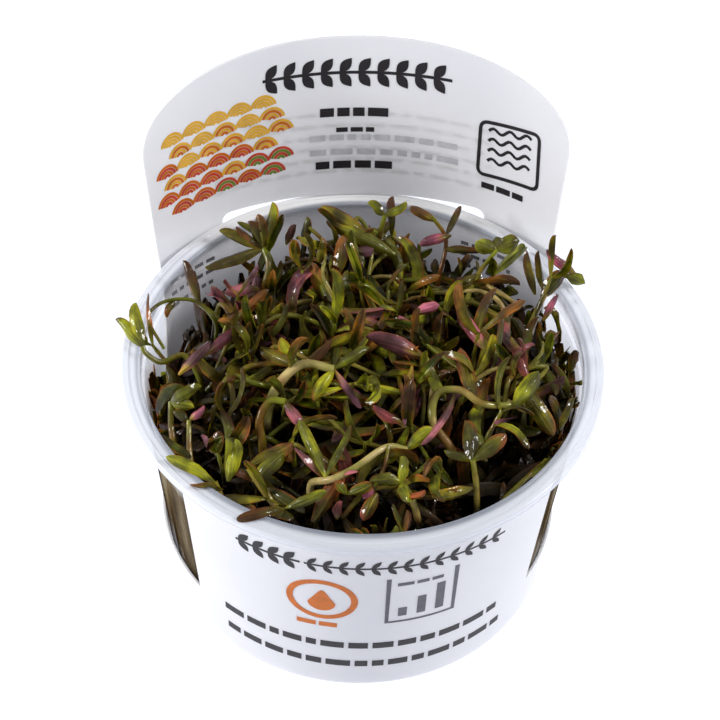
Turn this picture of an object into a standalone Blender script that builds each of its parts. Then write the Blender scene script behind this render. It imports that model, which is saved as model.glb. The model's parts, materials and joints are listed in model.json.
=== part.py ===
"""A pot of rotala as it is sold for aquariums.

A clear plastic cup full of short stem plants stands in a printed label sleeve. The sleeve is one
thin sheet: a band round the foot of the cup, a flap up the front, and a tall panel at the back
that the cup's flange pokes through. Metres, +Z up, origin at the centre of the cup's base, the
tall panel towards +Y.
"""
import math
import random

import bmesh
import bpy
import numpy as np
from mathutils import Matrix, Vector
from mathutils.bvhtree import BVHTree

# Cup, turned about +Z
CUP_HEIGHT = 0.0551
CUP_SEGMENTS = 52
FOOT_RADIUS = 0.0379
WALL_FOOT_RADIUS = 0.0392       # outer radius that the wall would have at the floor
WALL_TAPER = 0.085              # outward run of the wall for each unit of height
WALL_THICKNESS = 0.0007
FLOOR_THICKNESS = 0.0009
LEDGE_HEIGHT = 0.0512           # where the wall steps out to the lid's seat
SEAT_RADIUS = 0.0441
FLANGE_RADIUS = 0.0474
FLANGE_THICKNESS = 0.0009
SKIRT_DROP = 0.0016             # how far the flange's turned-down edge hangs below its top

# Label sleeve, a sheet given by its middle surface
SHEET = 0.0005
FIT_GAP = 0.0003                # between any two pieces that touch
BAND_BOTTOM = 0.0006
BAND_TOP = 0.0135
FLAP_TOP = 0.0505
FLAP_HALF_ANGLE = math.radians(53.5)
PANEL_DEPTH = 0.0462            # middle of the panel in front of the axis, at the flange's top
PANEL_LEAN = math.radians(12.8)
PANEL_BEND_RADIUS = 0.0600      # of the panel's bend about a near-upright axis, at the flange
PANEL_BEND_GROWTH = 0.146       # growth of that radius for each unit of height
PANEL_HALF_WIDTH = 0.04494      # along the sheet, at the flange
PANEL_SPLAY = 0.096             # growth of the half width for each unit of height
ARCH_START = 0.0213             # height above the flange where the rounded shoulders start
ARCH_RISE = 0.0147
ARCH_POWER = 2.45               # superellipse exponent of the panel's top
WING_START = 0.066              # along the sheet, where the slit's level edge turns upward
SLOT_HALF_LENGTH = 0.0286
SLOT_BOTTOM = 0.0526
SLOT_TOP = 0.0556
SLOT_END_HEIGHT = 0.0545
SLOT_BOW = 0.0007               # rise of the slot's upper edge towards its ends
SLOT_ROUND_SHARE = 0.08         # share of the slot's half length over which its ends are rounded

# Plants
TANGLE_SEGMENTS = 40
TANGLE_MEAN_TOP = 0.0482
TANGLE_LUMP = 0.0026
TANGLE_RISE_BACK = 0.035        # slope of the tangle's top, up towards the back panel
STEM_WIDTH = 0.0011
SHOOT_SPACING = 0.0113
SHOOT_FIELD_RADIUS = 0.0365
NODE_HEIGHT = 0.0009            # of the piece of stem that a pair of leaves grows from
LEAF_PAIRS = 3
BARE_STEM_SHARE = 0.35          # share of a stem below its first pair of leaves
LEAF_LENGTHS = (0.0075, 0.0115)
LEAF_WIDTHS = (0.0021, 0.0028)
LEAF_THICKNESS = 0.0006
LEAF_TRIES = 60
LEAF_REACH = 0.0016             # room kept round a leaf's midline
OVERHANG_LIMIT = 0.0497         # no leaf goes farther from the axis than this

LEAF_COLOURS = {
    "olive_leaf": (0.105, 0.125, 0.020, 1.0),
    "green_leaf": (0.060, 0.130, 0.018, 1.0),
    "lime_leaf": (0.230, 0.330, 0.040, 1.0),
    "red_leaf": (0.260, 0.055, 0.060, 1.0),
}


def clear_scene():
    for obj in list(bpy.data.objects):
        bpy.data.objects.remove(obj, do_unlink=True)


def new_material(name, colour, roughness, transmission=0.0, ior=1.45):
    material = bpy.data.materials.new(name)
    material.use_nodes = True
    shader = material.node_tree.nodes["Principled BSDF"]
    shader.inputs["Base Color"].default_value = colour
    shader.inputs["Roughness"].default_value = roughness
    shader.inputs["Metallic"].default_value = 0.0
    shader.inputs["Transmission Weight"].default_value = transmission
    shader.inputs["IOR"].default_value = ior
    return material


def add_object(name, mesh, material, collection):
    mesh.materials.append(material)
    obj = bpy.data.objects.new(name, mesh)
    collection.objects.link(obj)
    return obj


# Cup

def wall_outer_radius(z):
    return WALL_FOOT_RADIUS + WALL_TAPER * z


def cup_inner_radius(z):
    if z > LEDGE_HEIGHT:
        return SEAT_RADIUS - WALL_THICKNESS
    return wall_outer_radius(z) - WALL_THICKNESS


def cup_profile():
    """Radius and height, from the floor's middle up the inside and down the outside."""
    top = CUP_HEIGHT
    flange_under = top - FLANGE_THICKNESS
    seat_inner = SEAT_RADIUS - WALL_THICKNESS
    edge = 0.0005
    foot_rise = 0.0014
    return [
        (0.0, FLOOR_THICKNESS),
        (FOOT_RADIUS - WALL_THICKNESS - edge, FLOOR_THICKNESS),
        (cup_inner_radius(foot_rise + edge), foot_rise + edge),
        (cup_inner_radius(LEDGE_HEIGHT), LEDGE_HEIGHT),
        (seat_inner, LEDGE_HEIGHT + edge),
        (seat_inner, top - edge),
        (seat_inner + edge, top),
        (FLANGE_RADIUS - edge, top),
        (FLANGE_RADIUS, top - edge),
        (FLANGE_RADIUS, top - SKIRT_DROP),
        (FLANGE_RADIUS - edge, top - SKIRT_DROP),
        (FLANGE_RADIUS - edge, flange_under),
        (SEAT_RADIUS, flange_under),
        (SEAT_RADIUS, LEDGE_HEIGHT),
        (wall_outer_radius(LEDGE_HEIGHT), LEDGE_HEIGHT - edge),
        (wall_outer_radius(foot_rise), foot_rise),
        (FOOT_RADIUS, 0.0),
        (0.0, 0.0),
    ]


def make_cup(collection):
    mesh = bpy.data.meshes.new("cup")
    points = [(radius, 0.0, z) for radius, z in cup_profile()]
    edges = [(i, i + 1) for i in range(len(points) - 1)]
    mesh.from_pydata(points, edges, [])
    plastic = new_material("clear_plastic", (0.86, 0.88, 0.92, 1.0), 0.18, 0.85, 1.49)
    cup = add_object("cup", mesh, plastic, collection)
    turn = cup.modifiers.new("turn", "SCREW")
    turn.axis = "Z"
    turn.steps = CUP_SEGMENTS
    turn.render_steps = CUP_SEGMENTS
    turn.use_merge_vertices = True
    turn.merge_threshold = 0.00001
    turn.use_smooth_shade = True
    return cup


# Label sleeve

def sleeve_radius(z):
    """Radius of the sheet's middle where it hugs the cup."""
    return wall_outer_radius(z) + FIT_GAP + SHEET / 2


def panel_bend_radius(z):
    """Bend radius of the back of the sheet, from the cup's own at the band to the panel's."""
    rise = z - CUP_HEIGHT
    free = PANEL_BEND_RADIUS + PANEL_BEND_GROWTH * rise
    if z >= CUP_HEIGHT:
        return free
    share = max(0.0, (z - BAND_TOP) / (CUP_HEIGHT - BAND_TOP)) ** 1.6
    return sleeve_radius(z) + (free - sleeve_radius(z)) * share


def panel_depth(z):
    """How far behind the axis the middle of the back sheet is."""
    if z >= CUP_HEIGHT:
        return PANEL_DEPTH + math.tan(PANEL_LEAN) * (z - CUP_HEIGHT)
    if z <= BAND_TOP:
        return sleeve_radius(z)
    share = (z - BAND_TOP) / (CUP_HEIGHT - BAND_TOP)
    return sleeve_radius(BAND_TOP) + (PANEL_DEPTH - sleeve_radius(BAND_TOP)) * share


def back_point(along, z):
    """A point of the back sheet, by its distance along the sheet from the middle and height."""
    bend = panel_bend_radius(z)
    angle = along / bend
    return (bend * math.sin(angle), panel_depth(z) - bend + bend * math.cos(angle), z)


def front_point(angle, z):
    """A point of the band's front or the flap, by its angle from straight ahead."""
    radius = sleeve_radius(z)
    return (radius * math.sin(angle), -radius * math.cos(angle), z)


def half_width(z):
    """Half width of the panel above its slot, along the sheet."""
    rise = min(z - CUP_HEIGHT, ARCH_START)
    return PANEL_HALF_WIDTH + PANEL_SPLAY * rise


def wing_row(turn):
    """Height and half width of the sheet on the quarter ellipse from the slit up to the panel."""
    side = half_width(SLOT_BOTTOM)
    width = WING_START + (side - WING_START) * math.sin(turn)
    return BAND_TOP + (SLOT_BOTTOM - BAND_TOP) * (1.0 - math.cos(turn)), width


def arch_top(share):
    """Height of the panel's top edge, at a share of the half width."""
    inside = max(0.0, 1.0 - abs(share) ** ARCH_POWER)
    return CUP_HEIGHT + ARCH_START + ARCH_RISE * inside ** (1 / ARCH_POWER)


def slot_share():
    """The slot's half length as a share of the sheet's half width there."""
    return SLOT_HALF_LENGTH / half_width(SLOT_END_HEIGHT)


def slot_edges(share):
    """Heights of the slot's lower and upper edge, which meet beyond its ends."""
    place = abs(share) / slot_share()
    if place > 0.9999:
        return SLOT_END_HEIGHT, SLOT_END_HEIGHT
    into_end = max(0.0, (place - 1.0) / SLOT_ROUND_SHARE + 1.0)
    round_off = math.sqrt(1.0 - into_end ** 2)
    upper = SLOT_TOP + SLOT_BOW * place ** 2
    return (SLOT_END_HEIGHT + (SLOT_BOTTOM - SLOT_END_HEIGHT) * round_off,
            SLOT_END_HEIGHT + (upper - SLOT_END_HEIGHT) * round_off)


def panel_columns():
    """Shares of the half width, closer together at the slot's ends and at the shoulders."""
    slot_columns = 7
    slot_body = slot_share() * (1.0 - SLOT_ROUND_SHARE)
    inner = [slot_body * i / slot_columns for i in range(slot_columns + 1)]
    ends = [slot_share() * (1.0 - SLOT_ROUND_SHARE * left) for left in (0.3, 0.0)]
    shoulders = [0.70, 0.765, 0.83, 0.885, 0.93, 0.96, 0.985, 1.0]
    half = inner + ends + shoulders
    return [-share for share in reversed(half[1:])] + half


def sleeve_mesh():
    """The sheet's middle surface as one open mesh: back rows and front rows share the band."""
    mesh = bmesh.new()
    columns = panel_columns()
    turns = [math.radians(angle) for angle in (14, 28, 42, 57, 73)]
    lift_shares = (0.45, 1.0)

    def back_row(heights_and_widths):
        row = []
        for share, (z, width) in zip(columns, heights_and_widths):
            row.append(mesh.verts.new(back_point(share * width, z)))
        return row

    wing_angle = WING_START / sleeve_radius(BAND_TOP)
    rows = []
    for z in (BAND_BOTTOM, BAND_TOP):
        rows.append(back_row([(z, wing_angle * sleeve_radius(z))] * len(columns)))
    for turn in turns:
        rows.append(back_row([wing_row(turn)] * len(columns)))
    lower, upper = [], []
    for share in columns:
        low, high = slot_edges(share)
        lower.append(mesh.verts.new(back_point(share * half_width(low), low)))
        if high > low:
            upper.append(mesh.verts.new(back_point(share * half_width(high), high)))
        else:
            upper.append(lower[-1])
    rows.append(lower)
    panel_rows = [upper]
    for lift in lift_shares:
        heights = []
        for share in columns:
            high = slot_edges(share)[1]
            z = high + (arch_top(share) - high) * lift
            heights.append((z, half_width(z)))
        panel_rows.append(back_row(heights))

    def skin(rows_up):
        for below, above in zip(rows_up[:-1], rows_up[1:]):
            for i in range(len(below) - 1):
                mesh.faces.new((below[i], below[i + 1], above[i + 1], above[i]))

    skin(rows)
    skin(panel_rows)

    # Front: the band on from the wings, and the flap above its middle
    level_steps = 5
    flap_steps = 18
    wing_end = math.pi - wing_angle
    levels = [FLAP_HALF_ANGLE + (wing_end - FLAP_HALF_ANGLE) * i / level_steps
              for i in range(level_steps)]
    flap = [FLAP_HALF_ANGLE * (2 * i / flap_steps - 1) for i in range(flap_steps + 1)]
    angles = [-angle for angle in reversed(levels)] + flap[1:-1] + levels
    front_rows = []
    for z, back in ((BAND_BOTTOM, rows[0]), (BAND_TOP, rows[1])):
        middle = [mesh.verts.new(front_point(angle, z)) for angle in angles]
        front_rows.append([back[0]] + middle + [back[-1]])
    skin(front_rows)
    flap_foot = front_rows[1][level_steps:len(angles) - level_steps + 2]
    skin([flap_foot, [mesh.verts.new(front_point(angle, FLAP_TOP)) for angle in flap]])

    bmesh.ops.recalc_face_normals(mesh, faces=mesh.faces)
    out = bpy.data.meshes.new("label_sleeve")
    mesh.to_mesh(out)
    mesh.free()
    return out


def make_label_sleeve(collection):
    card = new_material("white_label", (0.80, 0.80, 0.84, 1.0), 0.38)
    sleeve = add_object("label_sleeve", sleeve_mesh(), card, collection)
    shell = sleeve.modifiers.new("sheet", "SOLIDIFY")
    shell.thickness = SHEET
    shell.offset = 0.0
    shell.use_even_offset = True
    return sleeve


# Plants

def tangle_top(x, y):
    """Height of the packed stems and leaves in the cup: tufts and hollows, higher at the back."""
    tufts = math.sin(x * 560 + 1.7 * math.sin(y * 240)) * math.cos(y * 520 + 1.4 * math.sin(x * 260))
    swell = 0.5 * math.sin(x * 130 + 0.7) * math.cos(y * 150 - 0.4)
    return TANGLE_MEAN_TOP + TANGLE_LUMP * (tufts + swell) / 1.5 + TANGLE_RISE_BACK * y


def make_stem_tangle(collection):
    """The packed lower stems and leaves: one lumpy body that fills the cup."""
    mesh = bmesh.new()
    side_gap = 0.0005
    rings = []

    def ring(radius_share, height_of):
        row = []
        for i in range(TANGLE_SEGMENTS):
            angle = math.tau * i / TANGLE_SEGMENTS
            z = height_of(0.0, 0.0)
            for _ in range(2):
                radius = radius_share * (cup_inner_radius(z) - side_gap)
                x, y = radius * math.cos(angle), radius * math.sin(angle)
                z = height_of(x, y)
            row.append(mesh.verts.new((x, y, z)))
        rings.append(row)

    floor = FLOOR_THICKNESS + FIT_GAP
    foot = mesh.verts.new((0.0, 0.0, floor))
    ring(0.5, lambda x, y: floor)
    ring(0.93, lambda x, y: floor)
    ring(0.99, lambda x, y: floor + 0.003)
    ring(0.99, lambda x, y: 0.5 * TANGLE_MEAN_TOP)
    ring(0.985, lambda x, y: tangle_top(x, y) - 0.0065)
    ring(0.90, lambda x, y: tangle_top(x, y) - 0.0020)
    for share in (0.80, 0.69, 0.58, 0.47, 0.36, 0.24, 0.12):
        ring(share, tangle_top)
    crown = mesh.verts.new((0.0, 0.0, tangle_top(0.0, 0.0)))
    count = TANGLE_SEGMENTS
    for below, above in zip(rings[:-1], rings[1:]):
        for i in range(count):
            j = (i + 1) % count
            mesh.faces.new((below[i], below[j], above[j], above[i]))
    for i in range(count):
        j = (i + 1) % count
        mesh.faces.new((foot, rings[0][j], rings[0][i]))
        mesh.faces.new((crown, rings[-1][i], rings[-1][j]))
    bmesh.ops.recalc_face_normals(mesh, faces=mesh.faces)
    bmesh.ops.triangulate(mesh, faces=mesh.faces)
    out = bpy.data.meshes.new("stem_tangle")
    mesh.to_mesh(out)
    mesh.free()
    out.shade_smooth()
    dark = new_material("dark_foliage", (0.022, 0.030, 0.010, 1.0), 0.45)
    return add_object("stem_tangle", out, dark, collection)


class Room:
    """Where leaves may go: clear of the cup, the sleeve, the tangle and the leaves placed so far."""

    def __init__(self, tangle):
        self.tangle = BVHTree.FromPolygons([vert.co for vert in tangle.data.vertices],
                                           [face.vertices[:] for face in tangle.data.polygons])
        self.points = np.zeros((0, 3))
        self.reaches = np.zeros(0)
        self.owners = np.zeros(0, int)

    def floor(self, x, y):
        hit = self.tangle.ray_cast(Vector((x, y, 2 * CUP_HEIGHT)), Vector((0.0, 0.0, -1.0)))[0]
        return hit.z if hit else TANGLE_MEAN_TOP

    def stem_floor(self, x, y):
        """Height at which the whole square foot of a leaning stem is clear of the tangle."""
        step = STEM_WIDTH / 2
        around = [self.floor(x + i * step, y + j * step) for i in range(-2, 3) for j in range(-2, 3)]
        return max(around) + FIT_GAP + STEM_WIDTH / 3

    def add(self, spots, owner):
        """Keep balls, each a centre and a reach, for one shoot."""
        self.points = np.vstack([self.points, np.array([spot for spot, reach in spots])])
        self.reaches = np.append(self.reaches, [reach for spot, reach in spots])
        self.owners = np.append(self.owners, [owner] * len(spots))

    def free(self, spots, owner):
        for (x, y, z), reach in spots:
            near_tangle = self.tangle.find_nearest(Vector((x, y, z)), reach + FIT_GAP)[0]
            if z < self.floor(x, y) or near_tangle is not None:
                return False
            away = math.hypot(x, y)
            if z - reach < CUP_HEIGHT + FIT_GAP:
                if away + reach > cup_inner_radius(min(z, LEDGE_HEIGHT)) - FIT_GAP:
                    return False
            elif away + reach > OVERHANG_LIMIT:
                return False
            level = max(z, CUP_HEIGHT)
            bend = panel_bend_radius(level)
            from_bend_axis = math.hypot(x, y - (panel_depth(level) - bend))
            if y > 0 and from_bend_axis + reach > bend - SHEET - FIT_GAP:
                return False
        others = self.owners != owner
        if not others.any():
            return True
        centres = np.array([spot for spot, reach in spots])
        reaches = np.array([reach for spot, reach in spots])
        gaps = np.linalg.norm(self.points[others][None, :, :] - centres[:, None, :], axis=2)
        needed = self.reaches[others][None, :] + reaches[:, None] + FIT_GAP
        return bool((gaps > needed).all())


def leaf_midline(root, first, last, length):
    """Four points along a leaf that bends from one direction to another."""
    points = [root]
    for i in range(3):
        heading = first.lerp(last, i / 2).normalized()
        points.append(points[-1] + heading * (length / 3))
    return points


def leaf_spots(line):
    """Balls that cover a leaf, for finding it a clear place."""
    halves = [line[0].lerp(line[1], 0.5), line[1], line[1].lerp(line[2], 0.5), line[2],
              line[2].lerp(line[3], 0.5), line[3]]
    return [(spot, LEAF_REACH * share) for spot, share in zip(halves, (0.55, 0.7, 0.9, 1.0, 0.9, 0.75))]


def add_leaf(mesh, face, side, axis, line, width):
    """Grow a leaf from a side of the stem: out to its widest section, then to a blunt tip."""
    root = face.calc_center_median()
    signs = []
    for vert in face.verts:
        corner = vert.co - root
        signs.append((1 if corner.dot(side) > 0 else -1, 1 if corner.dot(axis) > 0 else -1))
    ahead = (line[3] - line[2]).normalized()
    across = (side - ahead * side.dot(ahead)).normalized()
    up = ahead.cross(across)
    for middle, half_wide, half_thick in (
            (line[2], width / 2, LEAF_THICKNESS / 2),
            (line[3], width / 4.5, LEAF_THICKNESS / 3)):
        face = bmesh.ops.extrude_discrete_faces(mesh, faces=[face])["faces"][0]
        for vert, (wide, thick) in zip(face.verts, signs):
            vert.co = middle + across * (wide * half_wide) + up * (thick * half_thick)


def find_leaf_way(chance, room, owner, root, outward, axis):
    """A bent midline that leads away from the stem and stays clear of all that is there."""
    for attempt in range(LEAF_TRIES):
        rise = math.radians(chance.uniform(5, 55))
        sweep = math.radians(chance.uniform(-30, 30))
        bend = math.radians(chance.uniform(-30, 35))
        first = outward * math.cos(rise) + axis * math.sin(rise)
        first = Matrix.Rotation(sweep, 3, axis) @ first
        last = Matrix.Rotation(bend, 3, first.cross(axis).normalized()) @ first
        length = chance.uniform(*LEAF_LENGTHS) * (1.0 - 0.35 * attempt / LEAF_TRIES)
        line = leaf_midline(root, first, last, length)
        spots = leaf_spots(line)
        if room.free(spots, owner):
            room.add(spots, owner)
            return line
    return None


def stem_frame(axis, twist):
    """A turn that takes +Z to the stem's axis, with the leaf pairs turned about it."""
    lean = Vector((0.0, 0.0, 1.0)).rotation_difference(axis).to_matrix()
    return lean @ Matrix.Rotation(twist, 3, "Z")


def grow_stem(mesh, base, axis, frame, length):
    """A square stem from one block, drawn out node by node. Gives the sides of each node."""
    free_part = length * BARE_STEM_SHARE
    gap = (length - free_part - LEAF_PAIRS * NODE_HEIGHT) / LEAF_PAIRS
    size = Vector((STEM_WIDTH, STEM_WIDTH, free_part))
    block = bmesh.ops.create_cube(mesh, size=1.0)["verts"]
    for vert in block:
        flat = vert.co + Vector((0.0, 0.0, 0.5))
        vert.co = base + frame @ Vector([a * b for a, b in zip(flat, size)])
    mesh.normal_update()
    top = max(mesh.faces, key=lambda face: face.normal.dot(axis))
    nodes = []
    for pair in range(LEAF_PAIRS):
        for step in (NODE_HEIGHT, gap):
            top = bmesh.ops.extrude_discrete_faces(mesh, faces=[top])["faces"][0]
            for vert in top.verts:
                vert.co += axis * step
            if step == NODE_HEIGHT:
                nodes.append([edge.link_faces[0] if edge.link_faces[0] != top else edge.link_faces[1]
                              for edge in top.edges])
    middle = top.calc_center_median()
    for vert in top.verts:
        vert.co = middle + (vert.co - middle) * 0.5
    mesh.normal_update()
    return nodes


def make_shoot(name, base, tip, room, owner, chance, material, collection):
    """A stem with crossed pairs of leaves, grown as one closed body."""
    axis = (tip - base).normalized()
    length = (tip - base).length
    frame = stem_frame(axis, chance.uniform(0, math.pi / 2))
    mesh = bmesh.new()
    nodes = grow_stem(mesh, base, axis, frame, length)
    for level, sides in enumerate(nodes):
        local = Vector((1.0, 0.0, 0.0)) if level % 2 == 0 else Vector((0.0, 1.0, 0.0))
        for way in (1, -1):
            outward = (frame @ local) * way
            face = max(sides, key=lambda side: side.normal.dot(outward))
            line = find_leaf_way(chance, room, owner, face.calc_center_median(), outward, axis)
            if line is not None:
                sides.remove(face)
                add_leaf(mesh, face, axis.cross(outward), axis, line, chance.uniform(*LEAF_WIDTHS))
                mesh.normal_update()
    out = bpy.data.meshes.new(name)
    mesh.to_mesh(out)
    mesh.free()
    return add_object(name, out, material, collection)


def shoot_places(chance, taken):
    """Spots over the cup on a staggered grid with a little scatter."""
    places = []
    row_step = SHOOT_SPACING * math.sqrt(3) / 2
    rows = int(SHOOT_FIELD_RADIUS / row_step) + 1
    for row in range(-rows, rows + 1):
        for column in range(-rows, rows + 1):
            x = (column + 0.5 * (row % 2)) * SHOOT_SPACING + chance.uniform(-0.0012, 0.0012)
            y = row * row_step + chance.uniform(-0.0012, 0.0012)
            if math.hypot(x, y) > SHOOT_FIELD_RADIUS:
                continue
            if any(math.hypot(x - p[0], y - p[1]) < 0.75 * SHOOT_SPACING for p in taken):
                continue
            places.append((x, y))
    return places


# Shoots that lean over the rim or stand out at the back: base x and y, then the tip
STANDOUT_SHOOTS = [
    ((-0.0345, 0.0020), (-0.0425, 0.0040, 0.0585)),
    ((0.0330, 0.0110), (0.0400, 0.0160, 0.0600)),
    ((-0.0180, 0.0270), (-0.0175, 0.0310, 0.0600)),
    ((-0.0040, 0.0290), (-0.0055, 0.0330, 0.0600)),
    ((0.0090, 0.0310), (0.0080, 0.0335, 0.0610)),
    ((0.0270, 0.0220), (0.0285, 0.0240, 0.0600)),
    ((-0.0270, -0.0210), (-0.0300, -0.0240, 0.0560)),
]


def make_shoots(tangle, collection):
    chance = random.Random(20)
    room = Room(tangle)
    materials = [new_material(name, colour, 0.30) for name, colour in LEAF_COLOURS.items()]
    taken = [place for place, tip in STANDOUT_SHOOTS]
    plan = []
    for (x, y), tip in STANDOUT_SHOOTS:
        plan.append((x, y, Vector(tip)))
    for x, y in shoot_places(chance, taken):
        height = chance.uniform(0.0075, 0.0120) + 0.05 * max(0.0, y)
        lean = Vector((chance.uniform(-0.30, 0.30), chance.uniform(-0.30, 0.30), 1.0)).normalized()
        inward = max(0.0, math.hypot(x, y) - 0.030) * 6
        lean -= Vector((x, y, 0.0)).normalized() * inward if inward else Vector()
        foot = Vector((x, y, room.floor(x, y)))
        plan.append((x, y, foot + lean.normalized() * height))
    stems = [(Vector((x, y, room.stem_floor(x, y))), tip) for x, y, tip in plan]
    for number, (base, tip) in enumerate(stems, start=1):
        room.add([(base.lerp(tip, i / 8), STEM_WIDTH) for i in range(1, 9)], number)
    for number, (base, tip) in enumerate(stems, start=1):
        material = materials[(number * 7) % len(materials)] if number % 3 == 0 else materials[number % 2]
        make_shoot(f"shoot_{number:02d}", base, tip, room, number, chance, material, collection)


def main():
    clear_scene()
    collection = bpy.data.collections.new("rotala_pot")
    bpy.context.scene.collection.children.link(collection)
    make_cup(collection)
    make_label_sleeve(collection)
    tangle = make_stem_tangle(collection)
    make_shoots(tangle, collection)


main()
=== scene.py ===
"""Looks for the pot of rotala: a clear cup of wet stem plants in a printed card sleeve.

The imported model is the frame. The cup, the sleeve, the tangle of stems and each shoot are replaced
by finer pieces in the same places, and more shoots fill the cup between those of the frame.
Metres, +Z up, the sleeve's tall panel towards +Y.
"""
import json
import math
import random

import bmesh
import bpy
import numpy as np
from mathutils import Matrix, Vector


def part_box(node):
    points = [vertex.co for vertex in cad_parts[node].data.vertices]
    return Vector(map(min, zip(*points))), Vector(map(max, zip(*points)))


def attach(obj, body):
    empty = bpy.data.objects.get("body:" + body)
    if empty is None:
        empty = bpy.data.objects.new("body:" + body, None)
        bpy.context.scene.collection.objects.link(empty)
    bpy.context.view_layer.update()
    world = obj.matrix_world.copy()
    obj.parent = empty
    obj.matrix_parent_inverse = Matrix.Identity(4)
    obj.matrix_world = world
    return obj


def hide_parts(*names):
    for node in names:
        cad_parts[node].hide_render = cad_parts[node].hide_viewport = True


MM = 0.001
SEED = 41
UP = np.array((0.0, 0.0, 1.0))

# Cup, turned about +Z
CUP_HEIGHT = 0.0551
CUP_SEGMENTS = 176
FOOT_RADIUS = 0.0379
WALL_FOOT_RADIUS = 0.0392
WALL_TAPER = 0.085
WALL_THICKNESS = 0.0007
FLOOR_THICKNESS = 0.0009
LEDGE_HEIGHT = 0.0512
SEAT_RADIUS = 0.0441
FLANGE_RADIUS = 0.0474
FLANGE_THICKNESS = 0.0009
SKIRT_DROP = 0.0016
GROOVE_DEPTH = 0.00022          # of the flat between the mouth's bead and the rolled edge
BASE_HOLLOW = 0.0004            # of the cup's underside inside its standing ring

# Label sleeve
SHEET = 0.0005
FIT_GAP = 0.0003
BAND_BOTTOM = 0.0006
BAND_TOP = 0.0135
FLAP_TOP = 0.0505
FLAP_HALF_ANGLE = math.radians(53.5)
WINDOW_FRONT = math.radians(100)
PANEL_DEPTH = 0.0462
PANEL_LEAN = math.radians(12.8)
PANEL_BEND_RADIUS = 0.0600
PANEL_BEND_GROWTH = 0.146
PANEL_BEND_EASE = 1.6           # exponent of the change from the cup's bend to the panel's
PANEL_HALF_WIDTH = 0.04494
PANEL_SPLAY = 0.096
ARCH_START = 0.0213
ARCH_RISE = 0.0147
ARCH_POWER = 2.45
WING_START = 0.066
SLOT_HALF_LENGTH = 0.0286
SLOT_BOTTOM = 0.0526
SLOT_TOP = 0.0556
SLOT_END_HEIGHT = 0.0545
SLOT_BOW = 0.0007
SLOT_ROUND_SHARE = 0.08
INK_LIFT = 0.00003
INK_THICKNESS = 0.00006
INK_CUT = 1.5                   # millimetres between the cuts that let the ink bend

# Plants
TANGLE_MEAN_TOP = 0.0482
TANGLE_RISE_BACK = 0.035
CORE_DEPTH = 0.0110             # how far the dark core lies below the tangle's top
CORE_ROUGHNESS = 0.0026
CORE_CROWN_RADIUS = 0.0415
CORE_CROWN = (0.90, 0.83, 0.76, 0.69, 0.62, 0.55, 0.48, 0.41, 0.34, 0.27, 0.20, 0.13, 0.06)
# Rings of the core's side, as shares of the cup's inner radius and of the side's height
CORE_WALL = ((0.5, 0.0), (0.92, 0.0), (0.99, 0.05), (1.0, 0.3), (1.0, 0.6), (1.0, 0.85), (0.97, 0.97))
OVERHANG_LIMIT = 0.0492
FOLIAGE_TOP = 0.0563
FOLIAGE_RISE = 0.075
LIGHT_DEPTH = 0.0115            # from the tips down to where the painted shade of the tangle is full
LIGHT_DEPTH_GROWTH = 0.205      # deeper towards the back, for each metre
WALL_PAINTED_LIGHT = 0.14               # share of painted light added beside the clear wall, for the light it lets in
SEEN_PAINTED_LIGHT_GAIN = 2.4                 # of the painted light on the listed shoots
CROWN = 0.0045                  # most that a leaf stands above the foliage's top
STALK_ROOT = np.array((0.0, 0.0, 0.0060))       # how far a listed stem goes on down
RUNNER_DUCK = np.array((0.0, 0.0, 0.0045))      # how far a runner dips under a listed shoot
RAISE = np.array((0.0, -1.2, 1.35))     # millimetres that the listed shoots stand out
SHOWN_CLEARANCE = 0.0011
PLANT_GAP = 0.00035             # kept between a plant and the plastic or card beside it
RUNNERS = 46
RUNNER_JOINTS = (5, 11, 17, 24)
RUNNER_FIELD = 0.037
RUNNER_START_FIELD = 0.034
RUNNER_STRIDES = (0.0045, 0.0080)
RUNNER_DEPTHS = (0.001, 0.005)          # below the foliage's top
RUNNER_ARCHES = (0.001, 0.005)
RIM_SHOOTS = 64
RIM_FOOT_RADIUS = 0.0365
RIM_TIP_RADIUS = 0.0408
FILLING_SPACING = 0.0063
FILLING_ROW_SHARE = 0.866       # of the spacing, between the rows of a triangular grid
FILLING_JITTER = (-0.0015, 0.0015)
FILLING_FIELD = 0.0385
FILLING_GRID = 0.039
LYING_SHARE = 0.42              # of the filling's shoots
LYING_LEANS = (48, 84)          # degrees off upright
LYING_LENGTHS = (0.010, 0.019)
UPRIGHT_LEANS = (4, 42)
UPRIGHT_LENGTHS = (0.011, 0.019)
LEAF_STATIONS = (0.0, 0.10, 0.24, 0.40, 0.56, 0.71, 0.83, 0.92, 0.975, 1.0)
LEAF_ACROSS = np.array([-1.0, -0.5, 0.0, 0.5, 1.0, 0.5, 0.0, -0.5])
LEAF_SKIN = np.array([0.0, 1.0, 0.7, 1.0, 0.0, -0.9, -1.4, -0.9])
LEAF_THICKNESS = 0.00013
LEAF_LENGTHS = ((0.0120, 0.0185), (0.0075, 0.0125))     # at a shoot's foot and at its tip
LEAF_SPREADS = ((48, 85), (14, 45))     # degrees off the stem, at a shoot's foot and at its tip
WIDEST_LEAF = 0.0031
STEM_SIDES = 7

# Ranges of tone, blush and youth for each kind of leaf; a kind without the last isn't young
MOODS = {
    "green": ((0.0, 1.0), (0.12, 0.60), (0.0, 0.35)),
    "olive": ((0.0, 1.0), (0.12, 0.60), (0.0, 0.35)),
    "lime": ((0.3, 1.0), (0.0, 0.35), (0.3, 0.9)),
    "deep": ((0.0, 0.45), (0.10, 0.60)),
    "brown": ((0.1, 0.8), (0.44, 0.80)),
    "pink": ((0.3, 1.0), (0.45, 0.95)),
}
GREEN_LEAN = 1.35               # exponent that makes low tones likelier in green leaves

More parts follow.
